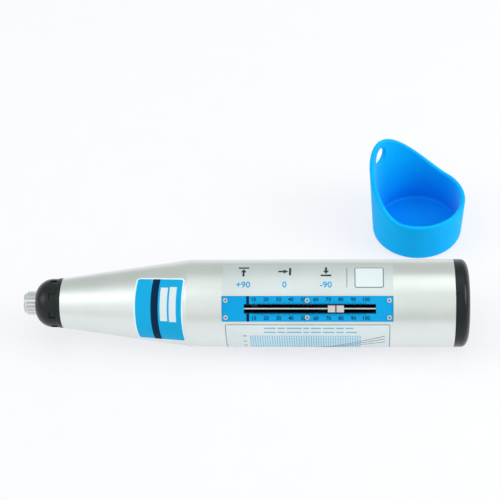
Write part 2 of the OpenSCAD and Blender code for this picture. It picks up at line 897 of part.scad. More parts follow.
// Spring that pushes the plunger out
module pressure_spring() {
    end_room = pressure_wire / 2 + run_clear;
    color("slategray")
        lay_down()
            coil(
                pressure_d / 2, pressure_wire, pressure_turns,
                flange_back + end_room, pressure_seat - end_room
            );
}

// Collared bush in the barrel's side that guides the lock button
module button_bush() {
    color("darkgray")
        lay_down()
            outward(button_side, button_s)
                difference() {
                    union() {
                        translate([0, 0, bush_bottom])
                            cylinder(r = bush_r, h = bush_top - bush_bottom);
                        translate([0, 0, button_seat_h])
                            cylinder(r = bush_collar_r, h = button_collar_t);
                    }
                    translate([0, 0, ledge_top])
                        cylinder(r = bush_bore_r, h = bush_top - ledge_top + cut);
                    translate([0, 0, bush_bottom - cut])
                        cylinder(r = stem_r + run_clear, h = button_ledge_t + 2 * cut);
                }
}

// Spring that lifts the lock button
module button_spring() {
    end_room = button_wire / 2 + seat_clear;
    coil_r = (stem_r + bush_bore_r) / 2;
    color("slategray")
        lay_down()
            outward(button_side, button_s)
                coil(coil_r, button_wire, button_turns, ledge_top + end_room, button_under - end_room);
}

// Plunger: fluted tip, plain shank, collar and the bore for the buffer and the guide rod
module plunger() {
    dome_rim = tip_dome_r - sqrt(pow(tip_dome_r, 2) - pow(tip_r - tip_bevel, 2));
    color("silver")
        lay_down()
            difference() {
                intersection() {
                    rotate_extrude()
                        polygon([
                            [0, 0],
                            [tip_r - tip_bevel, 0],
                            [tip_r - tip_bevel, dome_rim],
                            [tip_r, dome_rim + tip_bevel],
                            [tip_r, tip_l],
                            [plunger_r, tip_l],
                            [plunger_r, collar_front],
                            [collar_r, collar_front],
                            [collar_r, plunger_back],
                            [0, plunger_back]
                        ]);
                    union() {
                        translate([0, 0, tip_dome_r])
                            sphere(r = tip_dome_r);
                        rod(collar_r + cut, tip_dome_r, plunger_back + cut);
                    }
                }
                for (i = [0:flute_n - 1])
                    rotate([0, 0, 360 * i / flute_n])
                        translate([tip_r + flute_d / 2 - flute_depth, 0, -cut])
                            cylinder(d = flute_d, h = tip_l - seat_clear + cut, $fn = 24);
                rod(rod_bore_r, buffer_front, plunger_back + cut);
            }
}

// Buffer spring between the plunger and the guide rod
module buffer_spring() {
    end_room = buffer_wire / 2 + seat_clear;
    color("slategray")
        lay_down()
            coil(
                rod_bore_r - run_clear - buffer_wire / 2, buffer_wire, buffer_turns,
                buffer_front + end_room, rod_front - end_room
            );
}

// Rod that carries the hammer mass and joins the plunger to the flange
module guide_rod() {
    color("silver")
        lay_down()
            rod(rod_r, rod_front, rod_back);
}

// Flange that slides in the barrel, with passages for the pointer, the button and the hook
module guide_flange() {
    pointer_pass_w = rider_foot_w + 2 * pass_gap;
    pointer_pass_h = leaf_h - pass_gap;
    button_pass_w = 2 * max(bush_r, clip_r) + 2 * pass_gap;
    button_pass_h = min(stem_bottom, clip_bottom - button_travel) - pass_gap;
    ear_low = hook_pin_h - ear_w / 2;
    ear_high = hook_pin_h + ear_w / 2;
    ear_back = hook_pin_s + ear_w / 2;
    color("darkgray")
        lay_down() {
            difference() {
                tube(flange_r, rod_r + seat_clear, flange_front, flange_back);
                side_plate(scale_side, pointer_pass_w)
                    span(pointer_pass_h, flange_r + cut, flange_front - cut, flange_back + cut);
                side_plate(button_side, button_pass_w)
                    span(button_pass_h, flange_r + cut, flange_front - cut, flange_back + cut);
                side_plate(hook_side, hook_t + 2 * pass_gap)
                    span(
                        hook_arm_in - pass_gap, hook_arm_out + hook_swing_room,
                        flange_front - cut, flange_back + cut
                    );
            }
            for (shift = [-ear_gap_near - ear_t / 2, ear_gap_far + ear_t / 2])
                difference() {
                    side_plate(hook_side, ear_t, shift)
                        span(ear_low, ear_high, flange_back - seat_clear, ear_back);
                    side_plate(hook_side, ear_t + 2 * cut, shift)
                        translate([hook_pin_h, hook_pin_s])
                            circle(r = hook_pin_r + seat_clear);
                }
        }
}

// Nut that holds the flange on the guide rod
module rod_nut() {
    color("silver")
        lay_down()
            hex_nut(rod_nut_af, rod_r + seat_clear, flange_back, flange_back + rod_nut_l);
}

// Pin that the hook turns on
module hook_pin() {
    near = -ear_gap_near - ear_t;
    far = ear_gap_far + ear_t;
    color("silver")
        lay_down()
            side_plate(hook_side, far - near, (near + far) / 2)
                translate([hook_pin_h, hook_pin_s])
                    circle(r = hook_pin_r);
}

// Spring round the hook pin that presses the hook onto the mass
module hook_spring() {
    from = hook_t / 2 + seat_clear + hook_wire / 2;
    to = ear_gap_far - seat_clear - hook_wire / 2;
    color("slategray")
        lay_down()
            rotate([0, 0, hook_side])
                translate([hook_pin_h, 0, hook_pin_s])
                    rotate([-90, 0, 0])
                        coil(hook_spring_r, hook_wire, hook_turns, from, to);
}

// Hook: long arm with the tooth, eye, and short arm that the zero screw trips
module hook() {
    color("dimgray")
        lay_down()
            side_plate(hook_side, hook_t)
                difference() {
                    union() {
                        span(hook_arm_in, hook_arm_out, hook_tooth_front, hook_pin_s);
                        span(hook_tooth_in, hook_arm_out, hook_tooth_front, hook_tooth_back);
                        span(0, hook_pin_h, hook_trip_s, hook_trip_s + hook_trip_t);
                        translate([hook_pin_h, hook_pin_s])
                            circle(d = hook_eye_d);
                    }
                    translate([hook_pin_h, hook_pin_s])
                        circle(r = hook_pin_r + seat_clear);
                }
}

// Steel mass that the impact spring drives along the guide rod
module hammer_mass() {
    inner = rod_r + run_clear;
    color("gray")
        lay_down()
            rotate_extrude()
                polygon([
                    [inner, mass_front],
                    [mass_neck_r, mass_front],
                    [mass_neck_r, mass_body_front],
                    [mass_r, mass_body_front],
                    [mass_r, mass_shoulder],
                    [mass_groove_r, mass_shoulder],
                    [mass_groove_r, mass_lip_front],
                    [mass_lip_r, mass_lip_front],
                    [mass_lip_r, mass_back],
                    [inner, mass_back]
                ]);
}

// Pointer block on its shaft, standing in the slot of the scale
module rider_block() {
    front = rider_s - rider_l / 2;
    back = rider_s + rider_l / 2;
    color("ivory")
        lay_down()
            difference() {
                union() {
                    side_plate(scale_side, rider_w)
                        span(rider_foot_h, rider_top, front, back);
                    side_plate(scale_side, rider_foot_w)
                        span(rider_foot_h, rider_foot_top, front, back);
                }
                rotate([0, 0, scale_side])
                    translate([shaft_h, 0, 0])
                        rod(shaft_r + run_clear / 2, front - cut, back + cut);
                side_plate(scale_side, rider_w + cut)
                    span(
                        rider_top - hairline_depth, rider_top + cut,
                        rider_s - hairline_w / 2, rider_s + hairline_w / 2
                    );
            }
}

// Red line let into the pointer block
module rider_line() {
    half_w = hairline_w / 2 - glue_gap;
    color("firebrick")
        lay_down()
            side_plate(scale_side, rider_w)
                span(
                    rider_top - hairline_depth, rider_top - glue_gap,
                    rider_s - half_w, rider_s + half_w
                );
}

// Thin leaf under the pointer block that the mass pushes
module pointer_leaf() {
    color("silver")
        lay_down()
            side_plate(scale_side, leaf_w)
                span(leaf_h, leaf_h + leaf_t, rider_s + rider_l / 2 - leaf_l, rider_s + rider_l / 2);
}

// Lock button: domed head and stem
module lock_button() {
    dome_r = (pow(button_r, 2) + pow(button_dome, 2)) / (2 * button_dome);
    color([0.15, 0.16, 0.17])
        lay_down()
            outward(button_side, button_s) {
                intersection() {
                    translate([0, 0, button_under])
                        cylinder(r = button_r, h = button_top - button_under);
                    translate([0, 0, button_top - dome_r])
                        sphere(r = dome_r);
                }
                translate([0, 0, stem_bottom])
                    cylinder(r = stem_r, h = button_under + seat_clear - stem_bottom);
            }
}

// Clip on the stem that keeps the button in its bush
module button_clip() {
    color("silver")
        lay_down()
            outward(button_side, button_s)
                translate([0, 0, clip_bottom])
                    difference() {
                        cylinder(r = clip_r, h = clip_t);
                        translate([0, 0, -cut])
                            cylinder(r = stem_r + glue_gap, h = clip_t + 2 * cut);
                        translate([0, -clip_mouth_w / 2, -cut])
                            cube([clip_r + cut, clip_mouth_w, clip_t + 2 * cut]);
                    }
}

// Side view of the protective cap: low rim, climb and tab
module cap_side_view() {
    half = cap_out_r(cap_tab_h) + cut;
    climb_l = cap_out_r(cap_tab_h) - cap_tab_land + cap_climb_from;
    climb_h = cap_tab_h - cap_rim_h;
    polygon(concat(
        [[half, 0], [-half, 0], [-half, cap_rim_h]],
        [
            for (i = [0:cap_climb_n])
                let (t = i / cap_climb_n)
                [climb_l * t - cap_climb_from, cap_rim_h + climb_h * pow(t, cap_climb_power)]
        ],
        [[half, cap_tab_h]]
    ));
}

// Soft slip-on cap for the tail, with a hanging tab
module protective_cap() {
    foot_centre = [cap_out_r(0) - cap_foot_r, cap_foot_r];
    fillet_centre = [cap_seat_r - cap_fillet_r, cap_floor_t + cap_fillet_r];
    inner_top_r = cap_out_r(cap_tab_h) - cap_wall;
    inner_seat_r = max(cap_seat_r, cap_out_r(cap_seat_top) - cap_wall);
    color([0, 0.6, 0.9])
        translate([cap_x, cap_y, 0])
            rotate([0, 0, cap_tab_dir])
                difference() {
                    intersection() {
                        rotate_extrude()
                            polygon(concat(
                                [[0, 0]],
                                arc(foot_centre, cap_foot_r, -90, -cap_draft, cap_arc_n),
                                [[cap_out_r(cap_tab_h), cap_tab_h], [0, cap_tab_h]]
                            ));
                        rotate([90, 0, 0])
                            linear_extrude(2 * cap_out_r(cap_tab_h) + cut, center = true)
                                cap_side_view();
                    }
                    rotate_extrude()
                        polygon(concat(
                            [[0, cap_floor_t]],
                            arc(fillet_centre, cap_fillet_r, -90, 0, cap_arc_n),
                            [
                                [cap_seat_r, cap_seat_top],
                                [inner_seat_r, cap_seat_top],
                                [inner_top_r, cap_tab_h],
                                [inner_top_r, cap_tab_h + cut],
                                [0, cap_tab_h + cut]
                            ]
                        ));
                    translate([0, 0, hang_hole_h])
                        rotate([0, 90, 0])
                            cylinder(d = hang_hole_d, h = cap_out_r(cap_tab_h) + cut);
                }
}

housing();
nose_cap();
felt_ring();
split_ring();
spring_seat();
impact_spring();
scale_plate();
plate_screws();
pointer_shaft();
name_label();
chart_label();
title_film();
tail_cap();
zero_screw();
lock_nut();
pressure_spring();
button_bush();
button_spring();
plunger();
buffer_spring();
guide_rod();
guide_flange();
rod_nut();
hook_pin();
hook_spring();
hook();
hammer_mass();
rider_block();
rider_line();
pointer_leaf();
lock_button();
button_clip();
protective_cap();
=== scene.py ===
import itertools
import json
import math

import bmesh
import bpy
from mathutils import Matrix, Vector


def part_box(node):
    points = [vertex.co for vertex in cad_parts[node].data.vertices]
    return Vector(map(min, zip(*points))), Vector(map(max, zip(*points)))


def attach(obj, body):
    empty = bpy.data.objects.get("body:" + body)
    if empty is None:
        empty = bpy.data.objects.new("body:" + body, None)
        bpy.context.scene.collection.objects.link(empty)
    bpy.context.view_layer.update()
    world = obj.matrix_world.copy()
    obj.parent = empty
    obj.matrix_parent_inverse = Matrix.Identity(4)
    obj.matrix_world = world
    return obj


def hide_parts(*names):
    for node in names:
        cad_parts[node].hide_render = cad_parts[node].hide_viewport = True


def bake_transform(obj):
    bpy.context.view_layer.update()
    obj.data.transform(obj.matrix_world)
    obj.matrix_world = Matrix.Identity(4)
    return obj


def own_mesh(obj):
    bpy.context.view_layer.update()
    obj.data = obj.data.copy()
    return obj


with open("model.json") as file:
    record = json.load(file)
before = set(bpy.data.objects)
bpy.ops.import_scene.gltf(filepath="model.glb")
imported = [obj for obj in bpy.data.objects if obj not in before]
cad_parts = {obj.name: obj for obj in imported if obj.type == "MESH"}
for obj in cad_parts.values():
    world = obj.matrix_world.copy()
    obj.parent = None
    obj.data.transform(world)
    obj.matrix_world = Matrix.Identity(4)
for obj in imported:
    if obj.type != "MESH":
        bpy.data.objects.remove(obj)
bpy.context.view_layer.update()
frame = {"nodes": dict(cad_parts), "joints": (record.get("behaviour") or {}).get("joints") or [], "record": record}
NODES = frame["nodes"]
MM = 0.001


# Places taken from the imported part

def joint(name):
    return next(j for j in frame["joints"] if j["name"] == name)


def mount(name):
    return next(m for m in frame["record"]["mounts"] if m["name"] == name)


HOUSING_LOW, HOUSING_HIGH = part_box("housing")
BARREL_R = (HOUSING_HIGH.z - HOUSING_LOW.z) / 2
AXIS = Vector((0, (HOUSING_LOW.y + HOUSING_HIGH.y) / 2, (HOUSING_LOW.z + HOUSING_HIGH.z) / 2))
ALONG = Vector((1, 0, 0))
UP = Vector((0, 0, 1))
# The lock button is pressed straight towards the scale, so its axis is the scale's normal.
NORMAL = Vector(joint("button_press")["axis"]).normalized()
DOWN = ALONG.cross(NORMAL)
TIP_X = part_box("plunger")[0].x


def reach(node, direction):
    """Least and greatest distance of a node's points from the hammer's axis, in one direction."""
    values = [direction.dot(v.co - AXIS) for v in NODES[node].data.vertices]
    return min(values), max(values)


def polar(point):
    """Radius, and angle below the scale's normal, of a point round the hammer's axis."""
    offset = point - AXIS
    out, down = NORMAL.dot(offset), DOWN.dot(offset)
    return math.hypot(out, down), math.atan2(down, out)


def station(along):
    """X of a distance in millimetres behind the tip."""
    return TIP_X + along * MM


# Surfaces that carry print: each call gives the point at a station, a distance across and a lift

END_BAND = 0.05 * MM


class Wrap:
    """The outer face of a label glued round the hammer: stations along it, arc lengths across it."""

    def __init__(self, node):
        low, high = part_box(node)
        points = [v.co for v in NODES[node].data.vertices]
        angles = [polar(p)[1] for p in points]
        self.x0, self.x1 = low.x, high.x
        self.r0 = max(polar(p)[0] for p in points if p.x < low.x + END_BAND)
        self.r1 = max(polar(p)[0] for p in points if p.x > high.x - END_BAND)
        self.middle = (min(angles) + max(angles)) / 2
        self.half = (max(angles) - min(angles)) / 2 * (self.r0 + self.r1) / 2

    def radius(self, x):
        return self.r0 + (self.r1 - self.r0) * (x - self.x0) / (self.x1 - self.x0)

    def arc(self, degrees, x):
        """Arc length, from the label's middle, of an angle below the scale's normal."""
        return (math.radians(degrees) - self.middle) * self.radius(x)

    def __call__(self, x, across, lift):
        angle = self.middle + across / self.radius(x)
        out = NORMAL * math.cos(angle) + DOWN * math.sin(angle)
        return AXIS + ALONG * x + out * (self.radius(x) + lift)


class ConeSheet(Wrap):
    """A flat sheet wrapped round the cone: its straight edges bend back towards the barrel."""

    def __call__(self, x, across, lift):
        slope = (self.r1 - self.r0) / (self.x1 - self.x0)
        sine = math.sin(math.atan(slope))
        from_apex = self.radius(x) / sine
        angle = self.middle + math.atan2(across, from_apex) / sine
        radius = math.hypot(from_apex, across) * sine
        out = NORMAL * math.cos(angle) + DOWN * math.sin(angle)
        return AXIS + ALONG * (self.x0 + (radius - self.r0) / slope) + out * (radius + lift)


PLATE_X0, PLATE_X1 = (corner.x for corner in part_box("scale_plate"))
PLATE_TOP = reach("scale_plate", NORMAL)[1]
PLATE_HALF = reach("scale_plate", DOWN)[1]


def on_plate(x, across, lift):
    return AXIS + ALONG * x + DOWN * across + NORMAL * (PLATE_TOP + lift)


# Camera, at the photograph's viewing angle

CAMERA_AT = Vector((0.063695, -0.628034, 0.655763))
CAMERA_AZIMUTH = math.radians(5.883)
CAMERA_ELEVATION = math.radians(45)
CAMERA_ROLL = math.radians(-4.341)
CAMERA_LENS = 99.143
CAMERA_SENSOR = 36


def make_camera():
    level = math.cos(CAMERA_ELEVATION)
    back = Vector((
        math.sin(CAMERA_AZIMUTH) * level,
        -math.cos(CAMERA_AZIMUTH) * level,
        math.sin(CAMERA_ELEVATION),
    ))
    right = UP.cross(back).normalized()
    up = back.cross(right)
    turned_right = right * math.cos(CAMERA_ROLL) + up * math.sin(CAMERA_ROLL)
    turned_up = up * math.cos(CAMERA_ROLL) - right * math.sin(CAMERA_ROLL)
    data = bpy.data.cameras.new("camera")
    data.lens = CAMERA_LENS
    data.sensor_width = CAMERA_SENSOR
    camera = bpy.data.objects.new("camera", data)
    turn = Matrix((turned_right, turned_up, back)).transposed()
    camera.matrix_world = Matrix.Translation(CAMERA_AT) @ turn.to_4x4()
    bpy.context.scene.collection.objects.link(camera)
    bpy.context.scene.camera = camera


# Materials

NOISE_SPAN = (0.3, 0.7)
CLOUD_PER_METRE = 40
CLOUD_DETAIL = 3
GRAIN_DETAIL = 4
EDGE_SAMPLES = 6
HOLLOW_SHADE_SAMPLES = 8
# Grain that is alike in all directions, runs in rings round the hammer's axis, or runs along it
EVEN = (1, 1, 1)
TURNED = (60, 1, 1)
DRAWN = (1, 12, 12)


def srgb(red, green, blue):
    """Linear colour of a colour given in 0 to 255."""
    def linear(value):
        share = value / 255
        return share / 12.92 if share <= 0.04045 else ((share + 0.055) / 1.055) ** 2.4
    return linear(red), linear(green), linear(blue), 1


def add_node(tree, kind, **inputs):
    node = tree.nodes.new("ShaderNode" + kind)
    for name, value in inputs.items():
        node.inputs[name.replace("_", " ")].default_value = value
    return node


def link(tree, source, target):
    tree.links.new(source, target)


def add_noise(tree, per_metre, detail, stretch=EVEN):
    """Noise over the part's own coordinates, with a cell count per metre along each direction."""
    place = add_node(tree, "TexCoord")
    mapping = add_node(tree, "Mapping", Scale=stretch)
    cells = add_node(tree, "TexNoise", Scale=per_metre, Detail=detail)
    link(tree, place.outputs["Object"], mapping.inputs["Vector"])
    link(tree, mapping.outputs["Vector"], cells.inputs["Vector"])
    return cells.outputs["Fac"]


def add_range(tree, value, span, low, high):
    """A value spread from a span onto the range from low to high."""
    spread = add_node(tree, "MapRange", From_Min=span[0], From_Max=span[1], To_Min=low, To_Max=high)
    link(tree, value, spread.inputs["Value"])
    return spread.outputs["Result"]


def add_math(tree, operation, first, second):
    """The result for two values, each a fixed number or another node's output."""
    node = tree.nodes.new("ShaderNodeMath")
    node.operation = operation
    for socket, value in zip(node.inputs, (first, second)):
        if isinstance(value, float):
            socket.default_value = value
        else:
            link(tree, value, socket)
    return node.outputs["Value"]


def add_mix(tree, share, first, second):
    """A colour between two, each a fixed colour or another node's output."""
    mix = tree.nodes.new("ShaderNodeMix")
    mix.data_type = "RGBA"
    colour_inputs = [s for s in mix.inputs if s.type == "RGBA"]
    link(tree, share, mix.inputs["Factor"])
    for socket, colour in zip(colour_inputs, (first, second)):
        if isinstance(colour, tuple):
            socket.default_value = colour
        else:
            link(tree, colour, socket)
    return next(s for s in mix.outputs if s.type == "RGBA")


def finish(name, dark, light, roughness, grain, relief, stretch=EVEN, edge=0.0, **fixed):
    """A material whose colour drifts slowly and whose roughness and relief follow a fine grain."""
    material = bpy.data.materials.new(name)
    material.use_nodes = True
    tree = material.node_tree
    shader = tree.nodes["Principled BSDF"]
    for socket, value in fixed.items():
        shader.inputs[socket.replace("_", " ")].default_value = value
    cloud = add_range(tree, add_noise(tree, CLOUD_PER_METRE, CLOUD_DETAIL), NOISE_SPAN, 0, 1)
    fine = add_noise(tree, grain, GRAIN_DETAIL, stretch)
    link(tree, add_mix(tree, cloud, srgb(*dark), srgb(*light)), shader.inputs["Base Color"])
    link(tree, add_range(tree, fine, NOISE_SPAN, *roughness), shader.inputs["Roughness"])
    bump = add_node(tree, "Bump", Strength=1.0, Distance=relief)
    link(tree, fine, bump.inputs["Height"])
    if edge:
        bevel = add_node(tree, "Bevel", Radius=edge)
        bevel.samples = EDGE_SAMPLES
        link(tree, bevel.outputs["Normal"], bump.inputs["Normal"])
    link(tree, bump.outputs["Normal"], shader.inputs["Normal"])
    return material


def deepen_hollows(material, depth, openness, colour):
    """Painted shade: a deeper base colour where a piece's own shape shuts the light out, within a depth of its
    surface.
    """
    tree = material.node_tree
    base = tree.nodes["Principled BSDF"].inputs["Base Color"]
    plain = base.links[0].from_socket
    shade_occlusion = add_node(tree, "AmbientOcclusion", Distance=depth)
    shade_occlusion.samples = HOLLOW_SHADE_SAMPLES
    shade_occlusion.only_local = True
    share = add_range(tree, shade_occlusion.outputs["AO"], openness, 0, 1)
    link(tree, add_mix(tree, share, srgb(*colour), plain), base)


INKS = (
    ("ink_navy", (2, 38, 66), (8, 44, 76)),
    ("ink_dark", (52, 58, 62), (62, 68, 72)),
    ("ink_grey", (84, 92, 98), (96, 104, 110)),
    ("ink_blue", (40, 152, 204), (50, 162, 212)),
    ("ink_mist", (126, 178, 204), (138, 188, 212)),
    ("ink_pale", (196, 222, 232), (204, 228, 236)),
    ("ink_field", (212, 224, 227), (219, 230, 232)),
)
INK_ROUGHNESS = (0.45, 0.55)
INK_GRAIN = 1500


def make_materials():
    made = {}

    def add(name, *look, **settings):
        made[name] = finish(name, *look, **settings)

    add(
        "housing_metal", (224, 230, 227), (231, 236, 233), (0.3, 0.36), 60,
        stretch=TURNED, relief=0.0015 * MM, edge=0.25 * MM, Metallic=1.0,
    )
    add(
        "black_cap", (18, 25, 26), (26, 33, 34), (0.2, 0.3), 900,
        relief=0.015 * MM, edge=0.15 * MM, Specular_IOR_Level=0.26,
    )
    add(
        "black_button", (18, 20, 21), (25, 27, 28), (0.3, 0.45), 1200,
        relief=0.01 * MM, edge=0.3 * MM,
    )
    add(
        "felt", (70, 70, 70), (96, 95, 92), (0.85, 1.0), 2500,
        relief=0.15 * MM, Sheen_Weight=0.4,
    )
    add(
        "steel", (205, 208, 208), (222, 224, 222), (0.2, 0.32), 60,
        stretch=TURNED, relief=0.002 * MM, edge=0.15 * MM, Metallic=1.0,
    )
    add(
        "screw_steel", (205, 210, 212), (220, 224, 226), (0.2, 0.3), 1500,
        relief=0.003 * MM, edge=0.2 * MM, Metallic=1.0,
    )
    add(
        "plunger_steel", (216, 220, 223), (228, 231, 233), (0.3, 0.42), 60,
        stretch=TURNED, relief=0.004 * MM, edge=0.15 * MM, Metallic=1.0,
    )
    add(
        "dark_steel", (92, 95, 98), (112, 114, 116), (0.28, 0.42), 60,
        stretch=TURNED, relief=0.004 * MM, edge=0.2 * MM, Metallic=1.0,
    )
    add(
        "leaf_steel", (34, 36, 38), (46, 48, 50), (0.4, 0.55), 900,
        relief=0.003 * MM, Metallic=1.0,
    )
    add(
        "spring_steel", (120, 124, 130), (146, 149, 152), (0.25, 0.4), 1800,
        relief=0.003 * MM, Metallic=1.0,
    )
    add(
        "blue_plate", (0, 152, 214), (2, 160, 221), (0.4, 0.5), 400,
        stretch=DRAWN, relief=0.002 * MM, edge=0.15 * MM, Specular_IOR_Level=0.12,
    )
    add(
        "blue_label", (4, 160, 214), (18, 170, 222), (0.4, 0.5), 700,
        relief=0.004 * MM, Specular_IOR_Level=0.1,
    )
    add("label_edge", (214, 240, 250), (228, 247, 252), (0.35, 0.45), 700, relief=0.004 * MM)
    add(
        "pale_label", (212, 222, 225), (219, 228, 231), (0.42, 0.55), 900,
        relief=0.004 * MM, Specular_IOR_Level=0.3,
    )
    add(
        "matt_film", (210, 220, 220), (218, 227, 227), (0.45, 0.55), 1100,
        relief=0.004 * MM, Metallic=0.8,
    )
    add(
        "ivory_plastic", (194, 192, 194), (202, 199, 200), (0.4, 0.5), 1500,
        relief=0.006 * MM, edge=0.2 * MM, Specular_IOR_Level=0.3,
    )
    add("red_line", (130, 18, 30), (150, 26, 38), (0.4, 0.5), 2000, relief=0.002 * MM)
    add(
        "blue_silicone", (0, 172, 244), (0, 180, 248), (0.5, 0.6), 2600,
        relief=0.006 * MM, Subsurface_Weight=0.12, Subsurface_Scale=2 * MM, Specular_IOR_Level=0.07,
    )
    for ink, dark, light in INKS:
        add(ink, dark, light, INK_ROUGHNESS, INK_GRAIN, relief=0.002 * MM, Specular_IOR_Level=0.05)
    return made


CONE_X0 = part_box("nose_cap")[1].x
CONE_R0 = mount("nose_collar")["dims"]["r_mm"] * MM
CONE_L = 79.8 * MM
# Depth below the housing's outer face down to which the metal is bright; deeper in, the housing's inside gets
# painted shade
SKIN = 1.7 * MM
# Colour of the painted shade inside the housing
BORE_SHADE = (34, 42, 48)


def darken_bore(material):
    """Painted shade: the housing's inside is painted dark, the colour following the distance from the hammer's
    axis.
    """
    tree = material.node_tree
    base = tree.nodes["Principled BSDF"].inputs["Base Color"]
    metal = base.links[0].from_socket
    place = add_node(tree, "TexCoord").outputs["Object"]
    from_axis = add_node(tree, "Mapping", Location=(0, -AXIS.y, -AXIS.z))
    across = add_node(tree, "Mapping", Scale=(0, 1, 1))
    radius = tree.nodes.new("ShaderNodeVectorMath")
    radius.operation = "LENGTH"
    split = add_node(tree, "SeparateXYZ")
    skin = add_node(
        tree, "MapRange", From_Min=CONE_X0, From_Max=CONE_X0 + CONE_L,
        To_Min=CONE_R0 - SKIN, To_Max=BARREL_R - SKIN,
    )
    link(tree, place, from_axis.inputs["Vector"])
    link(tree, from_axis.outputs["Vector"], across.inputs["Vector"])
    link(tree, across.outputs["Vector"], radius.inputs[0])
    link(tree, place, split.inputs["Vector"])
    link(tree, split.outputs["X"], skin.inputs["Value"])
    outside = add_math(tree, "GREATER_THAN", radius.outputs["Value"], skin.outputs["Result"])
    link(tree, add_mix(tree, outside, srgb(*BORE_SHADE), metal), base)


# Mesh pieces

def from_bmesh(name, shape):
    bmesh.ops.recalc_face_normals(shape, faces=shape.faces)
    mesh = bpy.data.meshes.new(name)
    shape.to_mesh(mesh)
    shape.free()
    return mesh


def make_piece(name, shape, body, material):
    """A piece that rides on a body, from a shape still being built or from a mesh."""
    mesh = shape if isinstance(shape, bpy.types.Mesh) else from_bmesh(name, shape)
    piece = bpy.data.objects.new(name, mesh)
    bpy.context.scene.collection.objects.link(piece)
    mesh.materials.append(material)
    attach(piece, body)
    return piece


# Print is a thin solid that stands out of its surface and is sunk into it a little.
INK = 0.03 * MM
SUNK = 0.01 * MM
BEND_STEP = 1.2 * MM
QUARTER = [math.radians(degrees) for degrees in range(0, 91, 15)]


def add_layer(shape, surface, rows, lift, closed=False):
    """A thin solid over rows of surface points, each row from one edge to the other."""
    def lay(height):
        return [[shape.verts.new(surface(x, v, height)) for x, v in row] for row in rows]
    top, low = lay(lift + INK), lay(lift - SUNK)
    last = len(rows) - 1
    pairs = [(i, i + 1) for i in range(last)]
    if closed:
        pairs.append((last, 0))
    for a, b in pairs:
        for k in range(len(rows[a]) - 1):
            shape.faces.new((top[a][k], top[b][k], top[b][k + 1], top[a][k + 1]))
            shape.faces.new((low[a][k], low[a][k + 1], low[b][k + 1], low[b][k]))
        for k in (0, -1):
            shape.faces.new((top[a][k], low[a][k], low[b][k], top[b][k]))
    if not closed:
        for a in (0, last):
            for k in range(len(rows[a]) - 1):
                shape.faces.new((top[a][k], top[a][k + 1], low[a][k + 1], low[a][k]))


def steps_between(start, end, step=BEND_STEP):
    count = max(1, math.ceil(abs(end - start) / step))
    return [start + (end - start) * i / count for i in range(count + 1)]


def add_rectangle(shape, surface, x0, x1, v0, v1, lift=0.0):
    add_layer(shape, surface, [[(x0, v), (x1, v)] for v in steps_between(v0, v1)], lift)


def add_rounded(shape, surface, x0, x1, v0, v1, corner, lift=0.0):
    """A filled rectangle with rounded corners."""
    ends = [(corner * (1 - math.cos(a)), corner * (1 - math.sin(a))) for a in QUARTER]
    stations = [(x0 + dx, dv) for dx, dv in ends] + [(x1 - dx, dv) for dx, dv in reversed(ends)]
    count = max(2, math.ceil((v1 - v0) / BEND_STEP))
    rows = []
    for x, inset in stations:
        low, high = v0 + inset, v1 - inset
        rows.append([(x, low + (high - low) * k / count) for k in range(count + 1)])
    add_layer(shape, surface, rows, lift)


def add_ribbon(shape, surface, points, width, lift=0.0, closed=False):
    """A line of one width along points on a surface."""
    rows = []
    last = len(points) - 1
    for i, point in enumerate(points):
        before = points[i - 1] if i or closed else point
        after = points[(i + 1) % len(points)] if i < last or closed else point
        run = Vector((after[0] - before[0], after[1] - before[1])).normalized()
        side = Vector((-run.y, run.x)) * (width / 2)
        rows.append([(point[0] + side.x, point[1] + side.y), (point[0] - side.x, point[1] - side.y)])
    add_layer(shape, surface, rows, lift, closed)


def rounded_loop(x0, x1, v0, v1, corner):
    """Points round a rectangle with rounded corners."""
    bend = [(corner * (1 - math.cos(a)), corner * (1 - math.sin(a))) for a in QUARTER]
    sides = steps_between(v0 + corner, v1 - corner)[1:-1]
    loop = [(x0 + grown, v0 + left) for grown, left in bend]
    loop += [(x1 - left, v0 + grown) for grown, left in bend]
    loop += [(x1, v) for v in sides]
    loop += [(x1 - grown, v1 - left) for grown, left in bend]
    loop += [(x0 + left, v1 - grown) for grown, left in bend]
    loop += [(x0, v) for v in reversed(sides)]
    return loop


# Height of a figure as a share of its type size
FIGURE_SHARE = 0.72
FIGURE_CURVE_STEPS = 3
MERGE_GAP = 0.001 * MM


def add_figures(shape, surface, figures, height, x, v, weight=0.0):
    """Plain figures on a surface, cut into strips so that they follow its bend."""
    curve = bpy.data.curves.new("figures", "FONT")
    curve.body = figures
    curve.size = height / FIGURE_SHARE
    curve.align_x = "CENTER"
    curve.align_y = "CENTER"
    curve.resolution_u = FIGURE_CURVE_STEPS
    curve.extrude = (INK + SUNK) / 2
    curve.offset = weight
    holder = bpy.data.objects.new("figures", curve)
    bpy.context.scene.collection.objects.link(holder)
    bpy.context.view_layer.update()
    drawn = holder.evaluated_get(bpy.context.evaluated_depsgraph_get()).to_mesh()
    strip = bmesh.new()
    strip.from_mesh(drawn)
    bpy.data.objects.remove(holder)
    bpy.data.curves.remove(curve)
    for cut in steps_between(-height / 2, height / 2)[1:-1]:
        everything = strip.verts[:] + strip.edges[:] + strip.faces[:]
        bmesh.ops.bisect_plane(strip, geom=everything, plane_co=(0, cut, 0), plane_no=(0, 1, 0))
    bmesh.ops.remove_doubles(strip, verts=strip.verts, dist=MERGE_GAP)
    placed = {}
    for vert in strip.verts:
        lift = vert.co.z + (INK - SUNK) / 2
        placed[vert] = shape.verts.new(surface(x + vert.co.x, v - vert.co.y, lift))
    for face in strip.faces:
        shape.faces.new([placed[vert] for vert in face.verts])
    strip.free()
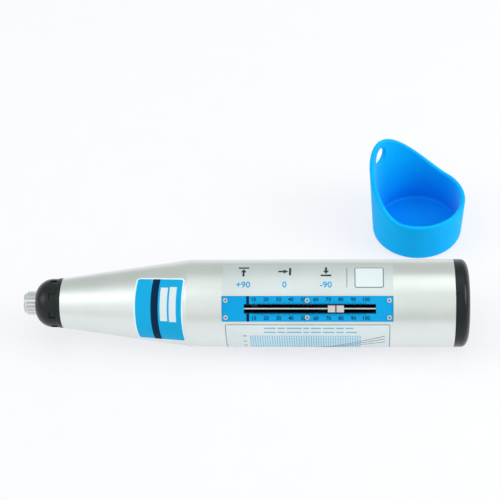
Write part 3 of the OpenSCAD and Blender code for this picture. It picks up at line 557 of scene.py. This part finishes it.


# Scale: figures, dark edges of the slot, graduations, zero line, and painted shade in the screw sockets

READING_FIRST = 10
READING_LAST = 100
SIDES = (-1, 1)
SLOT_HALF = 2.6 * MM
SLOT_END_ROOM = 1.2 * MM
SLOT_EDGE_W = 0.3 * MM
SLOT_OUT = SLOT_HALF + SLOT_EDGE_W
FIGURE_STEP = 10
FIGURE_H = 2.3 * MM
FIGURE_ACROSS = 5.7 * MM
FIGURE_WEIGHT = 0.05 * MM
# Length of the graduations: at each tenth reading, at each fifth, and at all the rest
TICK_LENGTHS = ((10, 1.6 * MM), (5, 1.3 * MM), (1, 1.0 * MM))
TICK_W = 0.16 * MM
ZERO_LINE_W = 1.7 * MM
ZERO_LINE_BACK = 3.6 * MM
ZERO_LINE_INSET = 0.05 * MM
SCREW_END_GAP = 2.3 * MM
SCREW_SIDE = 5.2 * MM
SCREW_HEAD_H = 0.5 * MM
SOCKET_SHADE_R = 0.62 * MM


def reading_x(reading):
    """X at which the pointer's line shows a reading."""
    pointer_low, pointer_high = joint("pointer_slide")["range_m"]
    line_low, line_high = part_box("rider_line")
    at_rest = (line_low.x + line_high.x) / 2
    share = (reading - READING_FIRST) / (READING_LAST - READING_FIRST)
    return at_rest + pointer_low + (pointer_high - pointer_low) * share


def make_scale_figures(ink):
    figures = bmesh.new()
    for reading in range(READING_FIRST, READING_LAST + 1, FIGURE_STEP):
        x = reading_x(reading)
        for side in SIDES:
            v = side * FIGURE_ACROSS
            add_figures(figures, on_plate, str(reading), FIGURE_H, x, v, FIGURE_WEIGHT)
    make_piece("scale_figures", figures, "housing", ink)


def make_slot_edges(ink):
    """A dark line along each side of the slot, from which the graduations start."""
    edges = bmesh.new()
    rider_low, rider_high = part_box("rider_block")
    room = (rider_high.x - rider_low.x) / 2 + SLOT_END_ROOM
    x0, x1 = reading_x(READING_FIRST) - room, reading_x(READING_LAST) + room
    for v0, v1 in ((-SLOT_OUT, -SLOT_HALF), (SLOT_HALF, SLOT_OUT)):
        add_rectangle(edges, on_plate, x0, x1, v0, v1)
    make_piece("slot_edges", edges, "housing", ink)


def make_ticks(ink):
    ticks = bmesh.new()
    for reading in range(READING_FIRST, READING_LAST + 1):
        length = next(length for every, length in TICK_LENGTHS if reading % every == 0)
        x = reading_x(reading)
        for side in SIDES:
            ends = [(x, side * SLOT_OUT), (x, side * (SLOT_OUT + length))]
            add_ribbon(ticks, on_plate, ends, TICK_W)
    make_piece("scale_ticks", ticks, "housing", ink)


def make_zero_line(ink):
    zero = bmesh.new()
    x = reading_x(READING_FIRST) - ZERO_LINE_BACK
    x0, x1 = x - ZERO_LINE_W / 2, x + ZERO_LINE_W / 2
    edge = PLATE_HALF - ZERO_LINE_INSET
    for v0, v1 in ((-edge, -SLOT_OUT), (SLOT_OUT, edge)):
        add_rectangle(zero, on_plate, x0, x1, v0, v1)
    make_piece("zero_line", zero, "housing", ink)


# Painted shade: a grey disc on each screw head stands for the shade inside its socket
def make_screw_sockets(ink):
    socket_shades = bmesh.new()
    for x in (PLATE_X0 + SCREW_END_GAP, (PLATE_X0 + PLATE_X1) / 2, PLATE_X1 - SCREW_END_GAP):
        for side in SIDES:
            v = side * SCREW_SIDE
            add_rounded(
                socket_shades, on_plate, x - SOCKET_SHADE_R, x + SOCKET_SHADE_R, v - SOCKET_SHADE_R, v + SOCKET_SHADE_R,
                SOCKET_SHADE_R, lift=SCREW_HEAD_H,
            )
    make_piece("screw_socket_shades", socket_shades, "housing", ink)


def make_scale(materials):
    navy = materials["ink_navy"]
    make_scale_figures(navy)
    make_slot_edges(navy)
    make_ticks(navy)
    make_zero_line(navy)
    # Painted shade in the screw sockets
    make_screw_sockets(materials["ink_grey"])


# Name label on the cone: pale edge, blue face, dark band and two blank fields

NAME_CORNER = 2.4 * MM
NAME_EDGE = 0.9 * MM
# Stations in millimetres behind the tip, and each field's angles below the scale's normal
NAME_BAND_S = (82.4, 86.9)
NAME_FIELDS = ((88.2, 92.6, -30, 18.2), (93.8, 98.1, -30, 18.8))


def make_name_label(materials):
    surface = ConeSheet("name_label")
    half = surface.half
    base = bmesh.new()
    add_rounded(base, surface, surface.x0, surface.x1, -half, half, NAME_CORNER, lift=-INK)
    edge = make_piece("name_label_edge", base, "housing", materials["label_edge"])
    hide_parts("name_label")

    face = bmesh.new()
    x0, x1 = surface.x0 + NAME_EDGE, surface.x1 - NAME_EDGE
    add_rounded(face, surface, x0, x1, NAME_EDGE - half, half - NAME_EDGE, NAME_CORNER - NAME_EDGE)
    make_piece("name_label_face", face, "housing", materials["blue_label"])

    band = bmesh.new()
    x0, x1 = (station(along) for along in NAME_BAND_S)
    add_rectangle(band, surface, x0, x1, NAME_EDGE - half, half - NAME_EDGE, lift=INK)
    make_piece("name_label_band", band, "housing", materials["ink_navy"])

    fields = bmesh.new()
    for from_s, to_s, from_deg, to_deg in NAME_FIELDS:
        x0, x1 = station(from_s), station(to_s)
        v0, v1 = surface.arc(from_deg, x0), surface.arc(to_deg, x0)
        add_rectangle(fields, surface, x0, x1, v0, v1, lift=INK)
    make_piece("name_label_fields", fields, "housing", materials["ink_field"])


# Film above the scale: arrows for the three directions of use, a divider and a blank square

# Station, angle of use and direction, along and across the film, of each arrow
ARROWS = ((139, "+90", (0, -1)), (164, "0", (1, 0)), (189, "-90", (0, 1)))
ARROW_DEG = -52.5
ARROW_LONG = 6 * MM
ARROW_W = 1.3 * MM
ARROW_HEAD = 2.8 * MM
ARROW_HALF = 1.8 * MM
ARROW_BAR = 6.4 * MM
ARROW_GAP = 0.5 * MM
ARROW_POINT = 0.05 * MM
ARROW_SPLITS = 4
FILM_FIGURE_DEG = -31.5
FILM_FIGURE_H = 4 * MM
FILM_FIGURE_WEIGHT = 0.12 * MM
FILM_DEGS = (-59, -28)
DIVIDER_S = 201.6
DIVIDER_W = 0.35 * MM
SQUARE_S = (206.5, 223.5)
SQUARE_CORNER = 1 * MM
SQUARE_LINE_W = 0.5 * MM


def add_arrow(shape, surface, x, v, towards):
    """An arrow and the short bar that it points at."""
    along = Vector(towards)
    aside = Vector((-along.y, along.x))

    def row(ahead, half):
        shares = [2 * k / ARROW_SPLITS - 1 for k in range(ARROW_SPLITS + 1)]
        spots = [along * ahead + aside * half * share for share in shares]
        return [(x + spot.x, v + spot.y) for spot in spots]

    start = -(ARROW_LONG + ARROW_GAP + ARROW_W) / 2
    tip = start + ARROW_LONG
    neck = tip - ARROW_HEAD
    bar = tip + ARROW_GAP
    slant = (ARROW_HALF - ARROW_POINT) / ARROW_HEAD
    stem = [row(ahead, ARROW_W / 2) for ahead in steps_between(start, neck)]
    head = [row(ahead, ARROW_POINT + slant * (tip - ahead)) for ahead in steps_between(neck, tip)]
    stop = [row(ahead, ARROW_BAR / 2) for ahead in (bar, bar + ARROW_W)]
    for rows in (stem, head, stop):
        add_layer(shape, surface, rows, 0)


def make_film_marks(materials):
    surface = Wrap("title_film")
    arrows = bmesh.new()
    figures = bmesh.new()
    for along, angle, towards in ARROWS:
        x = station(along)
        add_arrow(arrows, surface, x, surface.arc(ARROW_DEG, x), towards)
        v = surface.arc(FILM_FIGURE_DEG, x)
        add_figures(figures, surface, angle, FILM_FIGURE_H, x, v, FILM_FIGURE_WEIGHT)
    make_piece("film_arrows", arrows, "housing", materials["ink_dark"])
    make_piece("film_figures", figures, "housing", materials["ink_blue"])

    lines = bmesh.new()
    x = station(DIVIDER_S)
    v0, v1 = (surface.arc(degrees, x) for degrees in FILM_DEGS)
    add_ribbon(lines, surface, [(x, v) for v in steps_between(v0, v1)], DIVIDER_W)
    x0, x1 = (station(along) for along in SQUARE_S)
    loop = rounded_loop(x0, x1, v0, v1, SQUARE_CORNER)
    add_ribbon(lines, surface, loop, SQUARE_LINE_W, closed=True)
    make_piece("film_lines", lines, "housing", materials["ink_grey"])

    square = bmesh.new()
    add_rounded(square, surface, x0, x1, v0, v1, SQUARE_CORNER, lift=-INK / 2)
    make_piece("film_square", square, "housing", materials["ink_field"])


# Chart label: thin border, two rows of dashes and a plain graph

BORDER_INSET = 0.35 * MM
BORDER_W = 0.35 * MM
BORDER_CORNER = 0.8 * MM
# Angle below the scale's normal, first station and last station of each row of dashes
DASH_ROWS = ((26.5, 151.5, 205.5), (33, 151.5, 207.5))
DASHES = (7 * MM, 4.5 * MM, 9 * MM, 3.5 * MM, 6 * MM)
DASH_GAP = 1.1 * MM
DASH_H = 1 * MM
CHART_DEGS = (39.5, 98)
GRID_S = (143, 209.5)
GRID_STEP_ALONG = 1.5 * MM
GRID_STEP_ACROSS = 3.2 * MM
GRID_BAR_W = 0.45 * MM
GRID_LINE_W = 0.25 * MM
CHART_FIGURE_FIRST = 60
CHART_FIGURE_FALL = 10
CHART_FIGURE_STEP = 6.4 * MM
CHART_FIGURE_H = 1.5 * MM
CHART_FIGURE_BACK = 3.4 * MM
CURVE_S = (177, 224.5)
CURVE_RISES = (0.78, 0.9, 1.0)
CURVE_POWER = 0.6
CURVE_STEPS = 24
CURVE_W = 0.4 * MM


def add_dashes(shape, surface, x, end, v):
    """A row of dashes of several lengths."""
    for length in itertools.cycle(DASHES):
        if x >= end:
            return
        add_rectangle(shape, surface, x, min(x + length, end), v - DASH_H / 2, v + DASH_H / 2)
        x += length + DASH_GAP


def make_chart_border(surface, ink):
    border = bmesh.new()
    x0, x1 = surface.x0 + BORDER_INSET, surface.x1 - BORDER_INSET
    v0, v1 = BORDER_INSET - surface.half, surface.half - BORDER_INSET
    add_ribbon(border, surface, rounded_loop(x0, x1, v0, v1, BORDER_CORNER), BORDER_W, closed=True)
    make_piece("chart_border", border, "housing", ink)


def make_chart_grid(surface, ink, x0, x1, v0, v1):
    """The rows of dashes, and the bars and lines of the graph."""
    grid = bmesh.new()
    for degrees, from_s, to_s in DASH_ROWS:
        add_dashes(grid, surface, station(from_s), station(to_s), surface.arc(degrees, x0))
    for x in steps_between(x0, x1, GRID_STEP_ALONG):
        add_ribbon(grid, surface, [(x, v) for v in steps_between(v0, v1)], GRID_BAR_W)
    for v in steps_between(v0, v1, GRID_STEP_ACROSS):
        add_ribbon(grid, surface, [(x0, v), (x1, v)], GRID_LINE_W)
    make_piece("chart_grid", grid, "housing", ink)


def make_chart_figures(surface, ink, x, v0, v1):
    figures = bmesh.new()
    for step, v in enumerate(steps_between(v0, v1, CHART_FIGURE_STEP)):
        figure = str(CHART_FIGURE_FIRST - CHART_FIGURE_FALL * step)
        add_figures(figures, surface, figure, CHART_FIGURE_H, x, v)
    make_piece("chart_figures", figures, "housing", ink)


def make_chart_curves(surface, ink, v0, v1):
    curves = bmesh.new()
    x0, x1 = (station(along) for along in CURVE_S)
    shares = [k / CURVE_STEPS for k in range(CURVE_STEPS + 1)]
    for rise in CURVE_RISES:
        points = [(x0 + (x1 - x0) * s, v1 + (v0 - v1) * rise * s ** CURVE_POWER) for s in shares]
        add_ribbon(curves, surface, points, CURVE_W, lift=INK)
    make_piece("chart_curves", curves, "housing", ink)


def make_chart_label(materials):
    surface = Wrap("chart_label")
    grey = materials["ink_grey"]
    make_chart_border(surface, grey)
    x0, x1 = (station(along) for along in GRID_S)
    v0, v1 = (surface.arc(degrees, x0) for degrees in CHART_DEGS)
    ground = bmesh.new()
    add_rectangle(ground, surface, x0, x1, v0, v1, lift=-INK / 2)
    make_piece("chart_ground", ground, "housing", materials["ink_pale"])
    make_chart_grid(surface, materials["ink_mist"], x0, x1, v0, v1)
    make_chart_figures(surface, grey, x0 - CHART_FIGURE_BACK, v0, v1)
    make_chart_curves(surface, grey, v0, v1)


# Protective cap: one moulded shell with a round rim, a hanging tab and its hole

CAP_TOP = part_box("protective_cap")[1].z
CAP_AT = Vector(mount("cap_base")["pos_m"])
CAP_TAB = Vector(mount("hang_hole")["axis"]).normalized()
CAP_SIDE = UP.cross(CAP_TAB)
CAP_BORE = mount("cap_bore")
CAP_SEAT_R = CAP_BORE["dims"]["r_mm"] * MM
CAP_SEAT_TOP = CAP_BORE["pos_m"][2] + CAP_BORE["dims"]["length_mm"] * MM / 2
HOLE_R = mount("hang_hole")["dims"]["r_mm"] * MM
HOLE_Z = mount("hang_hole")["pos_m"][2]
CAP_WALL = 3 * MM
CAP_FLOOR = 3 * MM
CAP_RISE = math.tan(math.radians(2.9))
CAP_FOOT_R = 1.6 * MM
CAP_FILLET = 1.8 * MM
CAP_RIM_H = 29.4 * MM
CAP_CLIMB_FROM = 5.2 * MM
CAP_CLIMB_POWER = 1.7
CAP_COLUMNS = 256
CAP_ROWS = 28
RIM_STEPS = 10
RIM_PASSES = 30
DISC_SHARES = (0.4, 0.75)
HOLE_STEPS = 48
HOLE_ROUND = 0.8 * MM
FLARE_DEGS = (20, 40, 60, 90)
MOUTH_R = HOLE_R + 3 * HOLE_ROUND
MOUTH_OUT = 2 * HOLE_ROUND


def cap_out_r(z):
    return CAP_SEAT_R + CAP_WALL + (z - CAP_SEAT_TOP) * CAP_RISE


def cap_in_r(z):
    return max(CAP_SEAT_R, cap_out_r(z) - CAP_WALL)


def cap_rim_height(along):
    """Height of the rim at a distance along the tab's direction."""
    climb = (along + CAP_CLIMB_FROM) / (cap_out_r(CAP_TOP) + CAP_CLIMB_FROM)
    return CAP_RIM_H + (CAP_TOP - CAP_RIM_H) * min(1, max(0, climb)) ** CAP_CLIMB_POWER


def cap_profile(turn):
    """Radius and height of the shell's points at one turn from the tab, from base to floor."""
    # The wall leans out, so its radius at the rim and the rim's height are settled together.
    top = CAP_RIM_H
    for _ in range(RIM_PASSES):
        top = cap_rim_height(cap_out_r(top) * math.cos(turn))
    rim_r = CAP_WALL / 2
    rim_z = top - rim_r
    foot = cap_out_r(0) - CAP_FOOT_R
    points = [(foot * share, 0) for share in DISC_SHARES]
    points += [
        (foot + CAP_FOOT_R * math.sin(a), CAP_FOOT_R - CAP_FOOT_R * math.cos(a))
        for a in QUARTER
    ]
    points += [
        (cap_out_r(z), z)
        for z in (CAP_FOOT_R + (rim_z - CAP_FOOT_R) * k / CAP_ROWS for k in range(1, CAP_ROWS))
    ]
    middle_r = cap_out_r(rim_z) - rim_r
    points += [
        (middle_r + rim_r * math.cos(a), rim_z + rim_r * math.sin(a))
        for a in (math.pi * k / RIM_STEPS for k in range(RIM_STEPS + 1))
    ]
    in_low = CAP_FLOOR + CAP_FILLET
    points += [
        (cap_in_r(z), z)
        for z in (rim_z + (in_low - rim_z) * k / CAP_ROWS for k in range(1, CAP_ROWS))
    ]
    corner = CAP_SEAT_R - CAP_FILLET
    points += [
        (corner + CAP_FILLET * math.cos(a), in_low - CAP_FILLET * math.sin(a))
        for a in QUARTER
    ]
    points += [(corner * share, CAP_FLOOR) for share in reversed(DISC_SHARES)]
    return points


def cap_point(along, aside, z):
    return Vector((CAP_AT.x, CAP_AT.y, 0)) + CAP_TAB * along + CAP_SIDE * aside + UP * z


def add_rings(shape, rings):
    """Joins closed rings of as many points each, and closes both ends with a fan."""
    count = len(rings[0])
    for first, second in zip(rings, rings[1:]):
        for k in range(count):
            after = (k + 1) % count
            shape.faces.new((first[k], first[after], second[after], second[k]))
    for ring in (rings[0], rings[-1]):
        middle = shape.verts.new(sum((v.co for v in ring), Vector()) / count)
        for k in range(count):
            shape.faces.new((ring[k], ring[(k + 1) % count], middle))


def make_cap_blank():
    shape = bmesh.new()
    columns = []
    for i in range(CAP_COLUMNS):
        turn = 2 * math.pi * i / CAP_COLUMNS
        columns.append([
            shape.verts.new(cap_point(r * math.cos(turn), r * math.sin(turn), z))
            for r, z in cap_profile(turn)
        ])
    add_rings(shape, [list(ring) for ring in zip(*columns)])
    return from_bmesh("protective_cap_shell", shape)


def make_hole_cutter():
    """A tube through the tab whose ends flare along the wall's own faces."""
    shape = bmesh.new()

    def ring(radius, face, shift):
        points = []
        for k in range(HOLE_STEPS):
            a = 2 * math.pi * k / HOLE_STEPS
            aside, z = radius * math.cos(a), HOLE_Z + radius * math.sin(a)
            along = math.sqrt(face(z) ** 2 - aside ** 2) + shift
            points.append(shape.verts.new(cap_point(along, aside, z)))
        return points

    flare = [
        (HOLE_R + HOLE_ROUND * (1 - math.sin(a)), HOLE_ROUND * (1 - math.cos(a)))
        for a in (math.radians(degrees) for degrees in FLARE_DEGS)
    ]
    rings = [ring(MOUTH_R, cap_out_r, MOUTH_OUT)]
    rings += [ring(radius, cap_out_r, -depth) for radius, depth in flare]
    rings += [ring(radius, cap_in_r, depth) for radius, depth in reversed(flare)]
    rings.append(ring(MOUTH_R, cap_in_r, -MOUTH_OUT))
    add_rings(shape, rings)
    return from_bmesh("hole_cutter", shape)


def make_cap(materials):
    piece = bpy.data.objects.new("cap_blank", make_cap_blank())
    cutter = bpy.data.objects.new("hole_cutter", make_hole_cutter())
    for item in (piece, cutter):
        bpy.context.scene.collection.objects.link(item)
    cut = piece.modifiers.new("hole", "BOOLEAN")
    cut.operation = "DIFFERENCE"
    cut.solver = "EXACT"
    cut.object = cutter
    bpy.context.view_layer.update()
    drilled = piece.evaluated_get(bpy.context.evaluated_depsgraph_get())
    mesh = bpy.data.meshes.new_from_object(drilled)
    for item in (piece, cutter):
        bpy.data.objects.remove(item)
    mesh.materials.clear()
    mesh.shade_smooth()
    silicone = materials["blue_silicone"]
    shell = make_piece("protective_cap_shell", mesh, "protective_cap", silicone)
    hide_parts("protective_cap")
    # The barrel carries no reflection of the cap.
    shell.visible_glossy = False


# Springs: coils of round wire in the springs' places

SPRING_SIDES = 10
SPRING_STEPS = 24
IMPACT_WIRE = 1.6 * MM
IMPACT_TURNS = 9
BUTTON_WIRE = 0.5 * MM
BUTTON_TURNS = 3


def make_coil(node, axes, wire, turns, material):
    """A round wire in a spring's place, wound along the first of three axes, and its two ends."""
    along, side, other = axes
    spans = [reach(node, axis) for axis in axes]
    offsets = [axis * (low + high) / 2 for axis, (low, high) in zip(axes, spans)]
    middle = AXIS + sum(offsets, Vector())
    half = along * (spans[0][1] - spans[0][0] - wire) / 2
    coil_r = (spans[1][1] - spans[1][0] - wire) / 2
    steps = turns * SPRING_STEPS
    section = [2 * math.pi * k / SPRING_SIDES for k in range(SPRING_SIDES)]
    shape = bmesh.new()
    rings = []
    for i in range(steps + 1):
        turn = 2 * math.pi * turns * i / steps
        out = side * math.cos(turn) + other * math.sin(turn)
        centre = middle + out * coil_r + half * (2 * i / steps - 1)
        rings.append([
            shape.verts.new(centre + (out * math.cos(a) + along * math.sin(a)) * wire / 2)
            for a in section
        ])
    add_rings(shape, rings)
    mesh = from_bmesh(node + "_coil", shape)
    mesh.shade_smooth()
    mesh.materials.append(material)
    coil = bpy.data.objects.new(node + "_coil", mesh)
    bpy.context.scene.collection.objects.link(coil)
    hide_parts(node)
    return coil, middle - half, middle + half


def make_springs(materials):
    steel = materials["spring_steel"]
    axes = (ALONG, NORMAL, DOWN)
    coil, front, back = make_coil("impact_spring", axes, IMPACT_WIRE, IMPACT_TURNS, steel)
    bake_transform(coil)

    axes = (NORMAL, ALONG, DOWN)
    coil, outer, inner = make_coil("button_spring", axes, BUTTON_WIRE, BUTTON_TURNS, steel)
    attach(coil, "housing")
    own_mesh(coil)


# Floor and light

FLOOR_HALF = 4
FLOOR_DROP = 0.1 * MM
FLOOR_DARK = (247, 247, 249)
FLOOR_LIGHT = (250, 250, 252)
FLOOR_WHITE = (249, 249, 253)
FLOOR_WHITE_SHARE = 0.7


def make_floor():
    """A pale floor, nearly white to the camera and in reflections, that takes a soft shadow."""
    mesh = bpy.data.meshes.new("floor")
    corners = [(-1, -1), (1, -1), (1, 1), (-1, 1)]
    points = [(x * FLOOR_HALF, y * FLOOR_HALF, -FLOOR_DROP) for x, y in corners]
    mesh.from_pydata(points, [], [(0, 1, 2, 3)])
    floor = bpy.data.objects.new("floor", mesh)
    bpy.context.scene.collection.objects.link(floor)
    material = finish("floor", FLOOR_DARK, FLOOR_LIGHT, (0.7, 0.8), 300, relief=0.001 * MM)
    tree = material.node_tree
    rays = add_node(tree, "LightPath").outputs
    seen = add_math(tree, "MAXIMUM", rays["Is Camera Ray"], rays["Is Glossy Ray"])
    seen = add_math(tree, "MAXIMUM", seen, rays["Is Transmission Ray"])
    white = add_node(tree, "Emission", Color=srgb(*FLOOR_WHITE), Strength=1.0)
    mix = tree.nodes.new("ShaderNodeMixShader")
    link(tree, add_math(tree, "MULTIPLY", seen, FLOOR_WHITE_SHARE), mix.inputs["Fac"])
    link(tree, tree.nodes["Principled BSDF"].outputs["BSDF"], mix.inputs[1])
    link(tree, white.outputs["Emission"], mix.inputs[2])
    link(tree, mix.outputs["Shader"], tree.nodes["Material Output"].inputs["Surface"])
    mesh.materials.append(material)


SKY_BRIGHT = Vector((-0.5, -0.5, 0.7))
SKY_SPAN = (0.5, 0.9)
SKY_GREY = (0.62, 0.64, 0.62, 1)
SKY_PALE = (0.98, 1.0, 1.0, 1)


def make_world():
    """A plain studio: grey all round, paler high in front and to the left."""
    world = bpy.data.worlds.new("studio")
    bpy.context.scene.world = world
    world.use_nodes = True
    tree = world.node_tree
    place = add_node(tree, "TexCoord")
    facing = tree.nodes.new("ShaderNodeVectorMath")
    facing.operation = "DOT_PRODUCT"
    facing.inputs[1].default_value = SKY_BRIGHT
    ramp = add_node(tree, "ValToRGB")
    for stop, position, colour in zip(ramp.color_ramp.elements, SKY_SPAN, (SKY_GREY, SKY_PALE)):
        stop.position = position
        stop.color = colour
    link(tree, place.outputs["Generated"], facing.inputs[0])
    link(tree, facing.outputs["Value"], ramp.inputs["Fac"])
    link(tree, ramp.outputs["Color"], tree.nodes["Background"].inputs["Color"])


# Name, place, point faced, width and depth in metres, and power in watts
LAMPS = (
    ("overhead", (0.16, 0.24, 0.85), (0.16, 0.24, 0), (0.68, 0.5), 0.33),
    ("overhead_right", (0.33, 0.13, 0.84), (0.33, 0.13, 0), (0.5, 0.7), 0.46),
    ("overhead_left", (-0.45, -0.3, 0.8), (-0.08, -0.05, 0.03), (0.5, 0.85), 0.33),
    ("left", (-1.2, -0.25, 0.8), (-0.05, 0, 0.02), (0.7, 0.7), 3.5),
    ("right", (1.15, -0.2, 0.75), (0.08, 0.02, 0.02), (0.7, 0.7), 7.5),
)


def make_lamp(name, at, towards, size, power):
    data = bpy.data.lights.new(name, "AREA")
    data.shape = "RECTANGLE"
    data.size, data.size_y = size
    data.energy = power
    lamp = bpy.data.objects.new(name, data)
    aim = Vector(towards) - Vector(at)
    lamp.matrix_world = Matrix.Translation(at) @ aim.to_track_quat("-Z", "Y").to_matrix().to_4x4()
    bpy.context.scene.collection.objects.link(lamp)


# The part, dressed, and its stage

NODE_LOOKS = {"pointer_leaf": "leaf_steel"}
# Material, depth of its hollows, openness over which its painted shade deepens, and the shade colour
HOLLOW_SHADES = (
    # Painted shade in the notches and grooves of the black caps
    ("black_cap", 1.2 * MM, (0.6, 0.97), (0, 1, 1)),
    # Painted shade in the plunger's flutes
    ("plunger_steel", 0.6 * MM, (0.72, 0.98), (84, 90, 94)),
    # Painted shade inside the protective cap's cup
    ("blue_silicone", 40 * MM, (0.35, 0.8), (0, 142, 240)),
)


def dress_nodes(materials):
    """Gives every solid of the part the finish of its slot, or its own where it has one."""
    for name, node in NODES.items():
        slot = node.data.materials[0].name.split(".")[0]
        node.data.materials.clear()
        node.data.materials.append(materials[NODE_LOOKS.get(name, slot)])


make_camera()
materials = make_materials()
# Painted shade inside the housing
darken_bore(materials["housing_metal"])
# Painted shade in the hollows of the black caps, the plunger and the protective cap
for slot, depth, openness, colour in HOLLOW_SHADES:
    deepen_hollows(materials[slot], depth, openness, colour)
dress_nodes(materials)
make_cap(materials)
make_springs(materials)
make_scale(materials)
make_name_label(materials)
make_film_marks(materials)
make_chart_label(materials)
make_floor()
make_world()
for lamp in LAMPS:
    make_lamp(*lamp)
bpy.context.scene.view_settings.view_transform = "Standard"
